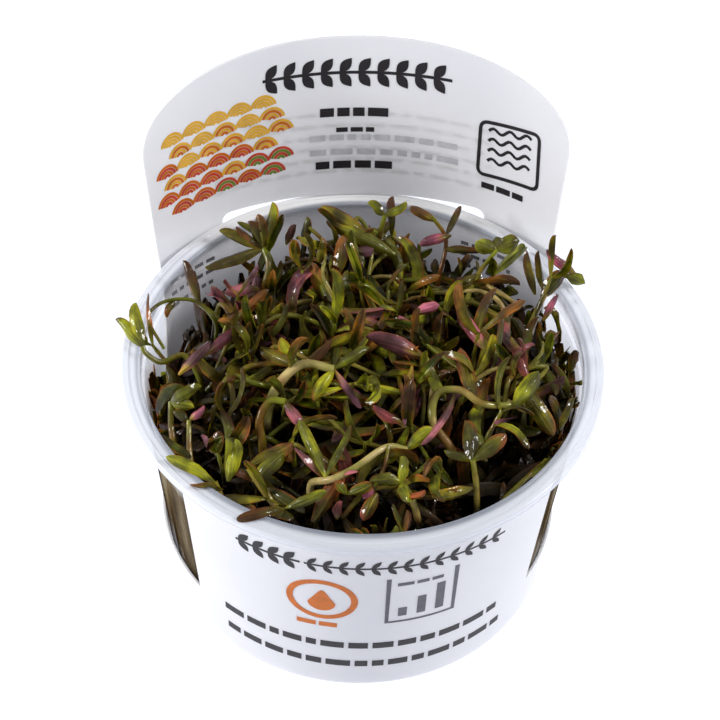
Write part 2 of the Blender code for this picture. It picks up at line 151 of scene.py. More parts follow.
# Colours in linear red, green and blue; the stops of a ramp each have a place and a colour
MILKY = (0.80, 0.83, 0.90)
REAR_PAINTED_LIGHT = (0.98, 0.98, 0.99)
LIP_PAINTED_SHADE = (0.22, 0.26, 0.34)
CLEAR_WALL = (0.62, 0.62, 0.64)
LOW_WALL_PAINTED_SHADE = ((0.36, (0.020, 0.012, 0.005)), (0.48, (0.078, 0.052, 0.026)),
         (0.58, (0.135, 0.098, 0.050)), (0.72, (0.300, 0.260, 0.170)))
CARD = ((0.30, (0.760, 0.762, 0.800)), (0.70, (0.815, 0.815, 0.845)))
INKS = {
    "black": (0.018, 0.015, 0.018), "grey": (0.110, 0.110, 0.125), "faint": (0.56, 0.56, 0.60),
    "yellow": (0.760, 0.420, 0.040), "orange": (0.600, 0.145, 0.006), "red": (0.560, 0.060, 0.030),
    "green": (0.170, 0.240, 0.030),
}
GREENS = {
    "olive_leaf": ((0.0, (0.046, 0.038, 0.002)), (0.45, (0.122, 0.106, 0.003)),
                   (1.0, (0.262, 0.236, 0.008))),
    "green_leaf": ((0.0, (0.024, 0.040, 0.001)), (0.50, (0.076, 0.108, 0.002)),
                   (1.0, (0.200, 0.230, 0.006))),
    "lime_leaf": ((0.0, (0.110, 0.140, 0.004)), (0.50, (0.220, 0.260, 0.007)),
                  (1.0, (0.400, 0.430, 0.020))),
    "red_leaf": ((0.0, (0.090, 0.060, 0.004)), (0.50, (0.190, 0.130, 0.010)),
                 (1.0, (0.330, 0.250, 0.050))),
}
BROWN_FLUSH = ((0.0, (0.115, 0.028, 0.006)), (0.40, (0.165, 0.050, 0.010)),
               (0.75, (0.215, 0.088, 0.020)), (1.0, (0.250, 0.030, 0.036)))
PINK_FLUSH = ((0.0, (0.160, 0.012, 0.042)), (0.35, (0.255, 0.068, 0.160)),
              (0.70, (0.330, 0.130, 0.310)), (1.0, (0.440, 0.050, 0.240)))
YOUNG_LEAF = (0.215, 0.270, 0.012)
LEAF_RIB = (0.280, 0.290, 0.035)
LEAF_MARGIN = (0.215, 0.052, 0.012)
LEAF_UNDERSIDE = (0.230, 0.130, 0.060)
LEAF_BLOT = (0.060, 0.036, 0.003)
LEAF_STREAKS = ((0.30, (0.24, 0.22, 0.16)), (0.52, (0.68, 0.68, 0.55)), (0.70, (1.08, 1.08, 0.95)))
LEAF_PAINTED_LIGHT_AND_SHADE = ((0.36, (0.16, 0.14, 0.11)), (0.50, (0.62, 0.60, 0.50)), (0.64, (2.20, 1.95, 1.35)))
LEAF_PAINTED_SHADE = (0.013, 0.006, 0.001)
STEM_TONES = ((0.0, (0.110, 0.036, 0.008)), (0.30, (0.090, 0.084, 0.006)),
              (0.55, (0.190, 0.180, 0.020)), (0.80, (0.340, 0.260, 0.060)), (1.0, (0.560, 0.460, 0.220)))
STEM_RUST = (0.220, 0.075, 0.018)
STEM_GREEN = (0.150, 0.190, 0.012)
STEM_MOTTLE = ((0.3, (0.40, 0.34, 0.22)), (0.7, (1.10, 1.05, 0.86)))
STEM_END = (0.220, 0.260, 0.016)
STEM_PAINTED_SHADE = (0.005, 0.004, 0.001)
PAINTED_SHADE_SHARE = 0.93              # of the painted shade in a leaf or stem that gets no painted light
CORE_SIDE = ((0.30, (0.016, 0.010, 0.004)), (0.50, (0.075, 0.050, 0.022)),
             (0.70, (0.190, 0.150, 0.060)))
# Painted shade, near black, for the core's crown
CORE_PAINTED_SHADE = ((0.30, (0.002, 0.002, 0.001)), (0.50, (0.006, 0.007, 0.001)),
               (0.72, (0.020, 0.018, 0.003)))

# Camera, from a fit of the photograph's own, and stage
CAMERA_DISTANCE = 0.3923
CAMERA_ELEVATION = math.radians(47.6)
CAMERA_AZIMUTH = math.radians(-4.4)
CAMERA_ROLL = math.radians(2.13)
CAMERA_LENS = 100.0
CAMERA_SENSOR = 36.0
CAMERA_SHIFT = (-0.0040, -0.0053)
TOWARD_CAMERA = np.array((0.05, -0.67, 0.74))
LIGHT_AIM = Vector((0.0, 0.0, 0.05))
LIGHTS = {      # place, side of the square and watts
    "left": ((-0.62, -0.04, 0.32), 0.13, 3.55),
    "left_top": ((-0.50, -0.06, 0.50), 0.12, 0.35),
    "right": ((0.50, -0.04, 0.48), 0.12, 2.6),
    "top": ((0.02, -0.13, 0.54), 0.10, 0.16),
}
WORLD_COLOUR = (1.0, 0.985, 0.975)
WORLD_STRENGTH = 0.34
FLOOR_HALF = 3.0
FLOOR_GLOW = (0.877, 0.904, 1.0)
FLOOR_STRENGTH = 1.28


# Shape of the cup and the sleeve

def polar(radius, angle):
    return radius * math.cos(angle), radius * math.sin(angle)


def wall_outer_radius(z):
    return WALL_FOOT_RADIUS + WALL_TAPER * z


def wall_inner_radius(z):
    return wall_outer_radius(z) - WALL_THICKNESS


def cup_inner_radius(z):
    return np.where(np.asarray(z) > LEDGE_HEIGHT, SEAT_RADIUS - WALL_THICKNESS, wall_inner_radius(z))


def sleeve_radius(z):
    return wall_outer_radius(z) + FIT_GAP + SHEET / 2


def panel_bend_radius(z):
    free = PANEL_BEND_RADIUS + PANEL_BEND_GROWTH * (z - CUP_HEIGHT)
    if z >= CUP_HEIGHT:
        return free
    share = max(0.0, (z - BAND_TOP) / (CUP_HEIGHT - BAND_TOP)) ** PANEL_BEND_EASE
    return sleeve_radius(z) + (free - sleeve_radius(z)) * share


def panel_depth(z):
    if z >= CUP_HEIGHT:
        return PANEL_DEPTH + math.tan(PANEL_LEAN) * (z - CUP_HEIGHT)
    if z <= BAND_TOP:
        return sleeve_radius(z)
    share = (z - BAND_TOP) / (CUP_HEIGHT - BAND_TOP)
    return sleeve_radius(BAND_TOP) + (PANEL_DEPTH - sleeve_radius(BAND_TOP)) * share


def back_point(along, z, out=0.0):
    """A point of the back sheet, by its distance along the sheet and its height."""
    bend = panel_bend_radius(z)
    angle = along / bend
    reach = bend + out
    return (reach * math.sin(angle), panel_depth(z) - bend + reach * math.cos(angle), z)


def front_point(angle, z, out=0.0):
    radius = sleeve_radius(z) + out
    return (radius * math.sin(angle), -radius * math.cos(angle), z)


def half_width(z):
    return PANEL_HALF_WIDTH + PANEL_SPLAY * min(z - CUP_HEIGHT, ARCH_START)


def wing_row(turn):
    """Height and half width of the back sheet where its side edge turns up from the slit."""
    width = WING_START + (half_width(SLOT_BOTTOM) - WING_START) * math.sin(turn)
    return BAND_TOP + (SLOT_BOTTOM - BAND_TOP) * (1.0 - math.cos(turn)), width


def arch_top(share):
    inside = max(0.0, 1.0 - abs(share) ** ARCH_POWER)
    return CUP_HEIGHT + ARCH_START + ARCH_RISE * inside ** (1 / ARCH_POWER)


def slot_share():
    return SLOT_HALF_LENGTH / half_width(SLOT_END_HEIGHT)


def slot_edges(share):
    """Heights of the slot's lower and upper edge; they are one beyond its ends."""
    place = abs(share) / slot_share()
    if place > 0.9999:
        return SLOT_END_HEIGHT, SLOT_END_HEIGHT
    into_end = max(0.0, (place - 1.0) / SLOT_ROUND_SHARE + 1.0)
    round_off = math.sqrt(1.0 - into_end ** 2)
    upper = SLOT_TOP + SLOT_BOW * place ** 2
    return (SLOT_END_HEIGHT + (SLOT_BOTTOM - SLOT_END_HEIGHT) * round_off,
            SLOT_END_HEIGHT + (upper - SLOT_END_HEIGHT) * round_off)


# Materials

class Shader:
    """A material with one Principled BSDF, and short calls that add nodes and join them."""

    def __init__(self, name, values=()):
        self.material = bpy.data.materials.new(name)
        self.material.use_nodes = True
        self.tree = self.material.node_tree
        self.surface = self.tree.nodes["Principled BSDF"]
        for socket, value in dict(values).items():
            self.set(socket, value)

    def set(self, socket, value):
        self.put(self.surface.inputs[socket], value)

    def put(self, socket, value):
        if isinstance(value, bpy.types.NodeSocket):
            self.tree.links.new(value, socket)
        else:
            socket.default_value = (*value, 1.0) if socket.type == "RGBA" else value

    def node(self, kind, inputs=None, **settings):
        node = self.tree.nodes.new("ShaderNode" + kind)
        for name, value in settings.items():
            setattr(node, name, value)
        for name, value in (inputs or {}).items():
            self.put(node.inputs[name], value)
        return node

    def math(self, operation, first, second=0.0, clamp=False):
        return self.node("Math", {0: first, 1: second}, operation=operation, use_clamp=clamp).outputs[0]

    def plus(self, first, second):
        return self.math("ADD", first, second)

    def minus(self, first, second):
        return self.math("SUBTRACT", first, second)

    def times(self, first, second):
        return self.math("MULTIPLY", first, second)

    def smooth(self, value, low, high, out_low=0.0, out_high=1.0):
        inputs = {"Value": value, "From Min": low, "From Max": high}
        inputs.update({"To Min": out_low, "To Max": out_high})
        return self.node("MapRange", inputs, interpolation_type="SMOOTHSTEP").outputs["Result"]

    def mix(self, factor, first, second, blend="MIX"):
        inputs = {0: factor, 6: first, 7: second}
        return self.node("Mix", inputs, data_type="RGBA", blend_type=blend).outputs[2]

    def ramp(self, factor, stops):
        node = self.node("ValToRGB", {"Fac": factor})
        elements = node.color_ramp.elements
        while len(elements) < len(stops):
            elements.new(0.5)
        for element, (place, colour) in zip(elements, stops):
            element.position = place
            element.color = (*colour, 1.0)
        return node.outputs["Color"]

    def noise(self, scale, vector=None, detail=2.0, roughness=0.5, distortion=0.0):
        inputs = {"Scale": scale, "Detail": detail, "Roughness": roughness, "Distortion": distortion}
        node = self.node("TexNoise", inputs)
        self.put(node.inputs["Vector"], vector or self.place())
        return node.outputs["Fac"]

    def place(self):
        return self.node("TexCoord").outputs["Object"]

    def upright(self, squeeze):
        """The object's coordinates with the height squeezed, for streaks that run up and down."""
        x, y, z = self.node("SeparateXYZ", {0: self.place()}).outputs
        return self.node("CombineXYZ", {0: x, 1: y, 2: self.times(z, squeeze)}).outputs[0]

    def channels(self, name):
        """Red, green, blue and alpha of a colour attribute."""
        attribute = self.node("Attribute", attribute_name=name)
        parts = self.node("SeparateColor", {0: attribute.outputs["Color"]}).outputs
        return parts[0], parts[1], parts[2], attribute.outputs["Alpha"]

    def bump(self, height, strength, distance, socket="Normal"):
        inputs = {"Height": height, "Strength": strength, "Distance": distance}
        self.set(socket, self.node("Bump", inputs).outputs["Normal"])

    def wet(self, strength):
        """Ripples of a film of water, which only the coat's gloss shows."""
        self.bump(self.noise(700.0, detail=1.5), strength, 0.00030, "Coat Normal")


def plastic_material():
    """Clear plastic: thin and see-through in the wall, milky where it is thick at the flange."""
    shader = Shader("cup_plastic")
    x, y, height = shader.node("SeparateXYZ", {0: shader.place()}).outputs
    away = shader.math("SQRT", shader.plus(shader.math("POWER", x, 2.0), shader.math("POWER", y, 2.0)))
    raised = shader.smooth(height, LEDGE_HEIGHT + 0.0015, CUP_HEIGHT - 0.0006)
    outer = shader.smooth(away, SEAT_RADIUS - 0.0004, SEAT_RADIUS + 0.0008, 0.22, 1.0)
    thick = shader.times(raised, outer)
    lip = shader.times(raised, shader.smooth(away, SEAT_RADIUS, SEAT_RADIUS + 0.0010, 1.0, 0.0))
    rear = shader.smooth(y, 0.028, 0.040)

    # Colour: painted shade, dark brown and streaked, on the low wall where plants press on it
    low_wall_shade = shader.ramp(shader.noise(230.0, shader.upright(0.15), detail=3.0), LOW_WALL_PAINTED_SHADE)
    wall = shader.mix(shader.smooth(height, 0.0400, 0.0460, 1.0, 0.0), CLEAR_WALL, low_wall_shade)
    # Painted light: the thick flange is painted whiter at the rear
    base = shader.mix(thick, wall, shader.mix(rear, MILKY, REAR_PAINTED_LIGHT))
    # Painted shade: the flange's inner lip is painted blue-grey and made more opaque
    shader.set("Base Color", shader.mix(shader.times(lip, 0.68), base, LIP_PAINTED_SHADE))

    # Cover: more where the plastic is thick, more at the rear so that its painted light shows, and where
    # the wall is seen along its surface
    facing = shader.node("LayerWeight", {"Blend": 0.5}).outputs["Facing"]
    solid = shader.plus(0.52, shader.times(rear, 0.30))
    cover = shader.plus(shader.times(thick, solid), shader.times(shader.noise(60.0, detail=3.0), 0.04))
    edge = shader.math("POWER", facing, 2.2)
    edge = shader.times(edge, shader.smooth(height, 0.0420, 0.0470, 0.95, 0.70))
    cover = shader.plus(shader.plus(cover, edge), shader.times(lip, 0.24))
    shader.set("Alpha", shader.math("ADD", cover, 0.03, clamp=True))

    # Gloss: the wall that leaves touch reflects little
    wet_wall = shader.smooth(height, LEDGE_HEIGHT - 0.0020, LEDGE_HEIGHT, 1.0, 0.0)
    dulled = shader.times(wet_wall, shader.smooth(facing, 0.62, 0.86, 0.0, 0.5))
    shader.set("Specular IOR Level", shader.minus(0.5, dulled))
    shader.set("IOR", shader.smooth(height, LEDGE_HEIGHT - 0.0020, LEDGE_HEIGHT, 1.06, 1.45))
    rough = shader.smooth(shader.noise(60.0), 0.3, 0.7, 0.08, 0.14)
    shader.set("Roughness", shader.plus(rough, shader.times(raised, 0.12)))
    shader.bump(shader.noise(140.0, detail=1.0), 0.10, 0.0003)
    return shader.material


def card_material():
    """White coated card with a faint cool tint and the slight waviness of a thin sheet."""
    shader = Shader("sleeve_card", {
        "IOR": 1.48,
        "Coat Weight": 0.25,
        "Coat Roughness": 0.18,
        "Subsurface Weight": 0.6,
        "Subsurface Radius": (1.0, 1.0, 1.0),
        "Subsurface Scale": 0.0015,
    })
    shader.set("Base Color", shader.ramp(shader.noise(35.0, detail=2.0), CARD))
    shader.set("Roughness", shader.smooth(shader.noise(1400.0), 0.3, 0.7, 0.31, 0.42))
    shader.bump(shader.noise(2600.0, detail=3.0), 0.06, 0.0001)
    return shader.material


def ink_material(name, colour):
    """Printed ink: a flat colour, mottled a little by the card under it."""
    shader = Shader(name, {"Roughness": 0.5, "Specular IOR Level": 0.3})
    dark = tuple(0.86 * channel for channel in colour)
    light = tuple(min(1.0, 1.12 * channel + 0.004) for channel in colour)
    shader.set("Base Color", shader.ramp(shader.noise(420.0, detail=2.0), ((0.3, dark), (0.7, light))))
    shader.bump(shader.noise(2600.0, detail=3.0), 0.05, 0.0001)
    return shader.material


def leaf_material(name, greens, flush, wet=0.72):
    """Wet leaf: green by each leaf's own tone, flushed brown or pink from the tip down, with painted
    light and shade.
    """
    shader = Shader(name, {
        "Roughness": 0.55,
        "Specular IOR Level": 0.16 * wet,
        "Subsurface Weight": 0.10,
        "Subsurface Radius": (0.9, 1.0, 0.2),
        "Subsurface Scale": 0.0012,
        "Coat Weight": wet,
        "Coat IOR": 1.33,
    })
    along, across, tone, blush = shader.channels("look")
    # The mood's last channel is the painted light of each point
    youth, chance, under, light = shader.channels("mood")

    # Green, with streaks along the leaf and a pale rib
    green = shader.mix(shader.times(youth, 0.85), shader.ramp(tone, greens), YOUNG_LEAF)
    grain = {0: shader.times(across, 9.0), 1: shader.times(along, 1.6), 2: shader.times(chance, 90.0)}
    streak = shader.noise(1.0, shader.node("CombineXYZ", grain).outputs[0], detail=3.0, roughness=0.6)
    edge = shader.times(shader.math("ABSOLUTE", shader.minus(across, 0.5)), 2.0)
    green = shader.mix(shader.smooth(edge, 0.04, 0.18, 0.40, 0.0), green, LEAF_RIB)

    # Flush from the tip down, sooner at the edges
    rise = shader.plus(along, shader.times(streak, 0.40))
    rise = shader.plus(rise, shader.times(shader.math("POWER", edge, 2.0), 0.28))
    reach = shader.minus(1.46, shader.times(blush, 1.30))
    tip = shader.smooth(rise, reach, shader.plus(reach, 0.40))
    colour = shader.mix(shader.times(tip, 0.92), green, shader.ramp(chance, flush))
    colour = shader.mix(0.8, colour, shader.ramp(streak, LEAF_STREAKS), "MULTIPLY")
    margin = shader.smooth(edge, 0.70, 1.0, 0.0, 0.62)
    margin = shader.times(margin, shader.minus(1.0, shader.times(youth, 0.7)))
    colour = shader.mix(margin, colour, LEAF_MARGIN)

    # Painted light and shade in patches, the underside, blots, and painted shade deep in the tangle
    light_and_shade_patch = shader.noise(170.0, detail=2.5, roughness=0.55)
    colour = shader.mix(0.9, colour, shader.ramp(light_and_shade_patch, LEAF_PAINTED_LIGHT_AND_SHADE), "MULTIPLY")
    colour = shader.mix(shader.times(under, 0.10), colour, LEAF_UNDERSIDE)
    blot = shader.noise(650.0, detail=3.0)
    colour = shader.mix(shader.smooth(blot, 0.52, 0.75, 0.0, 0.30), colour, LEAF_BLOT)
    # Painted shade: near black where the painted light is low, deep in the tangle
    colour = shader.mix(shader.smooth(light, 0.0, 1.0, PAINTED_SHADE_SHARE, 0.0), colour, LEAF_PAINTED_SHADE)
    shader.set("Base Color", colour)

    shader.set("Coat Roughness", shader.smooth(shader.noise(500.0), 0.35, 0.65, 0.03, 0.14))
    shader.wet(0.8)
    relief = shader.plus(streak, shader.times(blot, 0.4))
    relief = shader.plus(relief, shader.smooth(edge, 0.0, 0.24, 0.0, 1.3))
    shader.bump(relief, 0.50, 0.00020)
    return shader.material


def stem_material(name, wet=0.8):
    """Juicy stems, from cream and tan to olive and reddish brown by each stem's tone, with painted shade
    deep in the tangle.
    """
    shader = Shader(name, {
        "Specular IOR Level": 0.16 * wet,
        "Subsurface Weight": 0.15,
        "Subsurface Radius": (1.0, 0.8, 0.3),
        "Subsurface Scale": 0.0015,
        "Coat Weight": wet,
        "Coat Roughness": 0.06,
        "Coat IOR": 1.33,
    })
    along, _, tone, _ = shader.channels("look")
    # The mood's last channel is the painted light of each point
    light = shader.channels("mood")[3]
    wander = shader.noise(330.0, detail=3.0)
    patch = shader.noise(130.0, detail=2.0)
    base = shader.ramp(tone, STEM_TONES)
    base = shader.mix(shader.smooth(patch, 0.50, 0.66, 0.0, 0.65), base, STEM_RUST)
    base = shader.mix(shader.smooth(patch, 0.50, 0.36, 0.0, 0.60), base, STEM_GREEN)
    base = shader.mix(0.8, base, shader.ramp(wander, STEM_MOTTLE), "MULTIPLY")
    base = shader.mix(shader.smooth(along, 0.7, 1.0, 0.0, 0.5), base, STEM_END)
    # Painted shade: near black where the painted light is low, deep in the tangle
    base = shader.mix(shader.smooth(light, 0.0, 1.0, PAINTED_SHADE_SHARE, 0.0), base, STEM_PAINTED_SHADE)
    shader.set("Base Color", base)
    shader.set("Roughness", shader.smooth(wander, 0.3, 0.7, 0.2, 0.4))
    shader.wet(0.7)
    shader.bump(shader.noise(1500.0), 0.2, 0.0001)
    return shader.material


def core_material():
    """The tangle's core: painted shade, near black, on its crown, where the light between leaves and
    stems gives out, and streaked dark brown to olive on its side low by the wall.
    """
    shader = Shader("tangle_core", {"Roughness": 0.6, "Specular IOR Level": 0.0})
    height = shader.node("SeparateXYZ", {0: shader.place()}).outputs[2]
    patch = shader.noise(420.0, detail=4.0, roughness=0.65, distortion=1.2)
    side = shader.ramp(shader.noise(260.0, shader.upright(0.12), detail=3.0), CORE_SIDE)
    by_wall = shader.smooth(height, 0.0300, 0.0340, 1.0, 0.0)
    shader.set("Base Color", shader.mix(by_wall, shader.ramp(patch, CORE_PAINTED_SHADE), side))
    shader.bump(patch, 0.8, 0.0012)
    return shader.material


# Meshes

def add_piece(name, mesh, materials, slot=None, replaced=()):
    for material in materials:
        mesh.materials.append(material)
    piece = bpy.data.objects.new(name, mesh)
    bpy.context.scene.collection.objects.link(piece)
    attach(piece, "root")
    if replaced:
        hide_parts(*replaced)
    return piece


def skin(mesh, rows, closed=False):
    """Faces between each row of vertices and the next."""
    for below, above in zip(rows[:-1], rows[1:]):
        for i in range(len(below) if closed else len(below) - 1):
            j = (i + 1) % len(below)
            mesh.faces.new((below[i], below[j], above[j], above[i]))


def smooth_mesh(mesh, name):
    bmesh.ops.recalc_face_normals(mesh, faces=mesh.faces)
    out = bpy.data.meshes.new(name)
    mesh.to_mesh(out)
    mesh.free()
    out.shade_smooth()
    return out


def arc(radius_at, height_at, bend, start, end, steps=4):
    """Points of an arc in the cup's outline, between two angles in degrees."""
    angles = [math.radians(start + (end - start) * i / steps) for i in range(steps + 1)]
    bends = [polar(bend, angle) for angle in angles]
    return [(radius_at + out, height_at + up) for out, up in bends]


def cup_outline():
    """Radius and height, from the floor's middle up the inside and down the outside."""
    floor, ledge, top = FLOOR_THICKNESS, LEDGE_HEIGHT, CUP_HEIGHT
    seat, rim = SEAT_RADIUS - WALL_THICKNESS, FLANGE_RADIUS
    under, skirt, groove = top - FLANGE_THICKNESS, top - SKIRT_DROP, top - GROOVE_DEPTH
    inner_rises = [share * ledge for share in (0.15, 0.35, 0.55, 0.75, 0.95)]
    outer_falls = [share * ledge for share in (0.75, 0.5, 0.25)]
    return [
        # Floor, inside of the wall and seat of the lid
        (0.0, floor), (0.012, floor), (0.026, floor),
        *arc(wall_inner_radius(0.0018) - 0.0009, floor + 0.0009, 0.0009, -90, 0),
        *((wall_inner_radius(z), z) for z in inner_rises),
        *arc(wall_inner_radius(ledge) + 0.00025, ledge - 0.00005, 0.00025, 180, 90, 3),
        *arc(seat - 0.00035, ledge + 0.00055, 0.00035, -90, 0, 3),
        (seat, ledge + 0.0016), (seat + 0.00005, top - 0.0010),
        # Bead at the mouth, then two shallow steps out to the rolled edge
        *arc(seat + 0.00045, top - 0.0004, 0.0004, 180, 60, 5),
        (seat + 0.00085, groove), (rim - 0.00165, groove),
        *arc(rim - 0.00140, top - 0.00020, 0.00020, 140, 60, 3),
        (rim - 0.0009, top - 0.00006),
        *arc(rim - 0.0006, top - 0.00062, 0.0006, 80, 0, 5),
        # Turned-down skirt, and the flange's underside back to the wall
        (rim, skirt + 0.0001), (rim - 0.0001, skirt),
        (rim - 0.0004, skirt), (rim - 0.0005, skirt + 0.0001),
        (rim - 0.0005, under - 0.0002), (rim - 0.0008, under),
        (SEAT_RADIUS + 0.0004, under), (SEAT_RADIUS, under - 0.0004),
        (SEAT_RADIUS, ledge + 0.0003), (SEAT_RADIUS - 0.0003, ledge - 0.0001),
        (wall_outer_radius(ledge) + 0.0003, ledge - 0.0003),
        (wall_outer_radius(ledge), ledge - 0.0008),
        # Outside of the wall and the foot
        *((wall_outer_radius(z), z) for z in outer_falls),
        (wall_outer_radius(0.0016), 0.0016),
        *arc(FOOT_RADIUS - 0.0004, 0.0011, 0.0011, -10, -90),
        (FOOT_RADIUS - 0.0035, 0.0), (FOOT_RADIUS - 0.0050, BASE_HOLLOW), (0.0, BASE_HOLLOW),
    ]


def make_cup():
    """The outline turned about the axis; its first and last points are single vertices."""
    points, faces, rings = [], [], []
    for radius, z in cup_outline():
        around = CUP_SEGMENTS if radius else 1
        rings.append([len(points) + i % around for i in range(CUP_SEGMENTS)])
        points += [(*polar(radius, math.tau * i / CUP_SEGMENTS), z) for i in range(around)]
    for ring, after in zip(rings[:-1], rings[1:]):
        for i in range(CUP_SEGMENTS):
            j = (i + 1) % CUP_SEGMENTS
            faces.append(tuple(dict.fromkeys((ring[i], after[i], after[j], ring[j]))))
    mesh = bpy.data.meshes.new("clear_cup")
    mesh.from_pydata(points, [], faces)
    mesh.shade_smooth()
    mesh.set_sharp_from_angle(angle=math.radians(50))
    add_piece("clear_cup", mesh, [plastic_material()], "clear_plastic", ["cup"])


def panel_columns():
    """Places across the back sheet as shares of its half width, closer where the slot ends."""
    slot_columns, shoulder_steps = 22, 18
    end = slot_share()
    slot_body = end * (1.0 - SLOT_ROUND_SHARE)
    half = [slot_body * i / slot_columns for i in range(slot_columns + 1)]
    half += [end * (1.0 - SLOT_ROUND_SHARE * left) for left in (0.75, 0.5, 0.3, 0.15, 0.05, 0.0)]
    half += [end + (1.0 - end) * math.sin(math.pi / 2 * i / shoulder_steps)
             for i in range(1, shoulder_steps + 1)]
    return [-share for share in reversed(half[1:])] + half


def sleeve_mesh():
    """The sheet's middle surface as one open mesh: back rows and front rows share the band."""
    mesh = bmesh.new()
    columns = panel_columns()
    turn_steps, lift_steps, band_steps, flap_rise_steps = 22, 14, 3, 8
    level_steps, flap_steps = 16, 72

    def back_row(heights_and_widths):
        return [mesh.verts.new(back_point(share * width, z))
                for share, (z, width) in zip(columns, heights_and_widths)]

    # Back: band, wings, and the panel round the slot
    wing_angle = WING_START / sleeve_radius(BAND_TOP)
    band = [BAND_BOTTOM + (BAND_TOP - BAND_BOTTOM) * i / band_steps for i in range(band_steps + 1)]
    rows = [back_row([(z, wing_angle * sleeve_radius(z))] * len(columns)) for z in band]
    for step in range(1, turn_steps):
        rows.append(back_row([wing_row(math.pi / 2 * step / turn_steps)] * len(columns)))
    lower, upper = [], []
    for share in columns:
        low, high = slot_edges(share)
        lower.append(mesh.verts.new(back_point(share * half_width(low), low)))
        top = back_point(share * half_width(high), high)
        upper.append(mesh.verts.new(top) if high > low else lower[-1])
    panel_rows = [upper]
    lifts = [(slot_edges(share)[1], arch_top(share)) for share in columns]
    for step in range(1, lift_steps + 1):
        heights = [high + (arch - high) * (step / lift_steps) for high, arch in lifts]
        panel_rows.append(back_row([(z, half_width(z)) for z in heights]))
    skin(mesh, rows + [lower])
    skin(mesh, panel_rows)

    # Front: the band goes on from the back's edges, and the flap rises from its middle
    level_span = math.pi - wing_angle - FLAP_HALF_ANGLE
    levels = [FLAP_HALF_ANGLE + level_span * i / level_steps for i in range(level_steps)]
    flap = [FLAP_HALF_ANGLE * (2 * i / flap_steps - 1) for i in range(flap_steps + 1)]
    angles = [-angle for angle in reversed(levels)] + flap[1:-1] + levels
    front_rows = []
    for z, back in zip(band, rows):
        middle = [mesh.verts.new(front_point(angle, z)) for angle in angles]
        front_rows.append([back[0]] + middle + [back[-1]])
    skin(mesh, front_rows)
    flap_rows = [front_rows[-1][level_steps:len(angles) - level_steps + 2]]
    for step in range(1, flap_rise_steps + 1):
        z = BAND_TOP + (FLAP_TOP - BAND_TOP) * step / flap_rise_steps
        flap_rows.append([mesh.verts.new(front_point(angle, z)) for angle in flap])
    skin(mesh, flap_rows)
    return smooth_mesh(mesh, "card_sleeve")


def make_sleeve():
    sleeve = add_piece("card_sleeve", sleeve_mesh(), [card_material()], "white_label", ["label_sleeve"])
    shell = sleeve.modifiers.new("sheet", "SOLIDIFY")
    shell.thickness = SHEET
    shell.offset = 0.0
    shell.use_even_offset = True
    edges = sleeve.modifiers.new("edges", "BEVEL")
    edges.width = SHEET / 5
    edges.segments = 2
    edges.limit_method = "ANGLE"
    edges.angle_limit = math.radians(60)
    edges.harden_normals = True


# Print on the sleeve, in millimetres on the unrolled sheet

class Print:
    """Flat ink shapes of one colour, which are cut fine and laid on a face of the sheet."""

    def __init__(self, chance):
        self.mesh = bmesh.new()
        self.chance = chance

    def polygon(self, points):
        self.mesh.faces.new([self.mesh.verts.new((u, v, 0.0)) for u, v in points])

    def leaf(self, u, v, length, width, tilt):
        """A leaf shape of two arcs, from its stalk at u, v."""
        steps = 8
        upper = [(length * i / steps, width / 2 * math.sin(math.pi * i / steps))
                 for i in range(steps + 1)]
        outline = upper + [(a, -b) for a, b in reversed(upper[1:-1])]
        self.polygon([(u + a * math.cos(tilt) - b * math.sin(tilt),
                       v + a * math.sin(tilt) + b * math.cos(tilt)) for a, b in outline])

    def stroke(self, points, width, closed=False):
        """A line of even width through the points."""
        count = len(points)
        pairs = []
        for i, (u, v) in enumerate(points):
            before = points[(i - 1) % count] if closed or i > 0 else points[i]
            after = points[(i + 1) % count] if closed or i < count - 1 else points[i]
            du, dv = after[0] - before[0], after[1] - before[1]
            long = math.hypot(du, dv)
            nu, nv = -dv / long * width / 2, du / long * width / 2
            pairs.append([self.mesh.verts.new((u + way * nu, v + way * nv, 0.0)) for way in (1, -1)])
        for one, two in zip(pairs, pairs[1:] + (pairs[:1] if closed else [])):
            self.mesh.faces.new((one[1], two[1], two[0], one[0]))

    def garland(self, start, end, height, middle, thick):
        """A running border of leaf pairs on both sides of a stalk."""
        count = max(3, round((end - start) / (height * 0.62)))
        step = (end - start) / count
        for i in range(count):
            u = start + (i + 0.08) * step
            for way in (1, -1):
                self.leaf(u, middle, height * 0.62, height * thick, way * math.radians(52))
        self.dash(start - 0.3, middle, end - start + 0.6, height * 0.10)

    def dash(self, u, v, length, width):
        self.stroke([(u, v), (u + length, v)], width)

    def dashes(self, start, end, middle, height, lengths, gap):
        """A row of dashes of random lengths, where the real sleeve has a line of text."""
        u = start
        while u < end - lengths[0]:
            length = min(self.chance.uniform(*lengths), end - u)
            self.dash(u, middle, length, height)
            u += length + gap

    def lay(self, name, material, place):
        """Cuts the shapes across, bends them on to the sheet and makes each a thin closed body."""
        mesh = self.mesh
        low = min(vert.co.x for vert in mesh.verts)
        high = max(vert.co.x for vert in mesh.verts)
        for step in range(int(low / INK_CUT), int(high / INK_CUT) + 1):
            parts = mesh.verts[:] + mesh.edges[:] + mesh.faces[:]
            bmesh.ops.bisect_plane(mesh, geom=parts, dist=1e-6, plane_co=(step * INK_CUT, 0, 0),
                                   plane_no=(1, 0, 0))
        bmesh.ops.triangulate(mesh, faces=mesh.faces)
        for vert in mesh.verts:
            vert.co = place(vert.co.x * MM, vert.co.y * MM)
        out = bpy.data.meshes.new(name)
        mesh.to_mesh(out)
        mesh.free()
        body = add_piece(name, out, [material], "white_label").modifiers.new("ink", "SOLIDIFY")
        body.thickness = INK_THICKNESS
        body.offset = 0.0


def on_panel(u, v):
    return back_point(u, v, -(SHEET / 2 + INK_LIFT) / math.cos(PANEL_LEAN))


def on_panel_back(u, v):
    return back_point(u, v, (SHEET / 2 + INK_LIFT) / math.cos(PANEL_LEAN))


def on_flap(u, v):
    return front_point(u / sleeve_radius(v), v, SHEET / 2 + INK_LIFT)


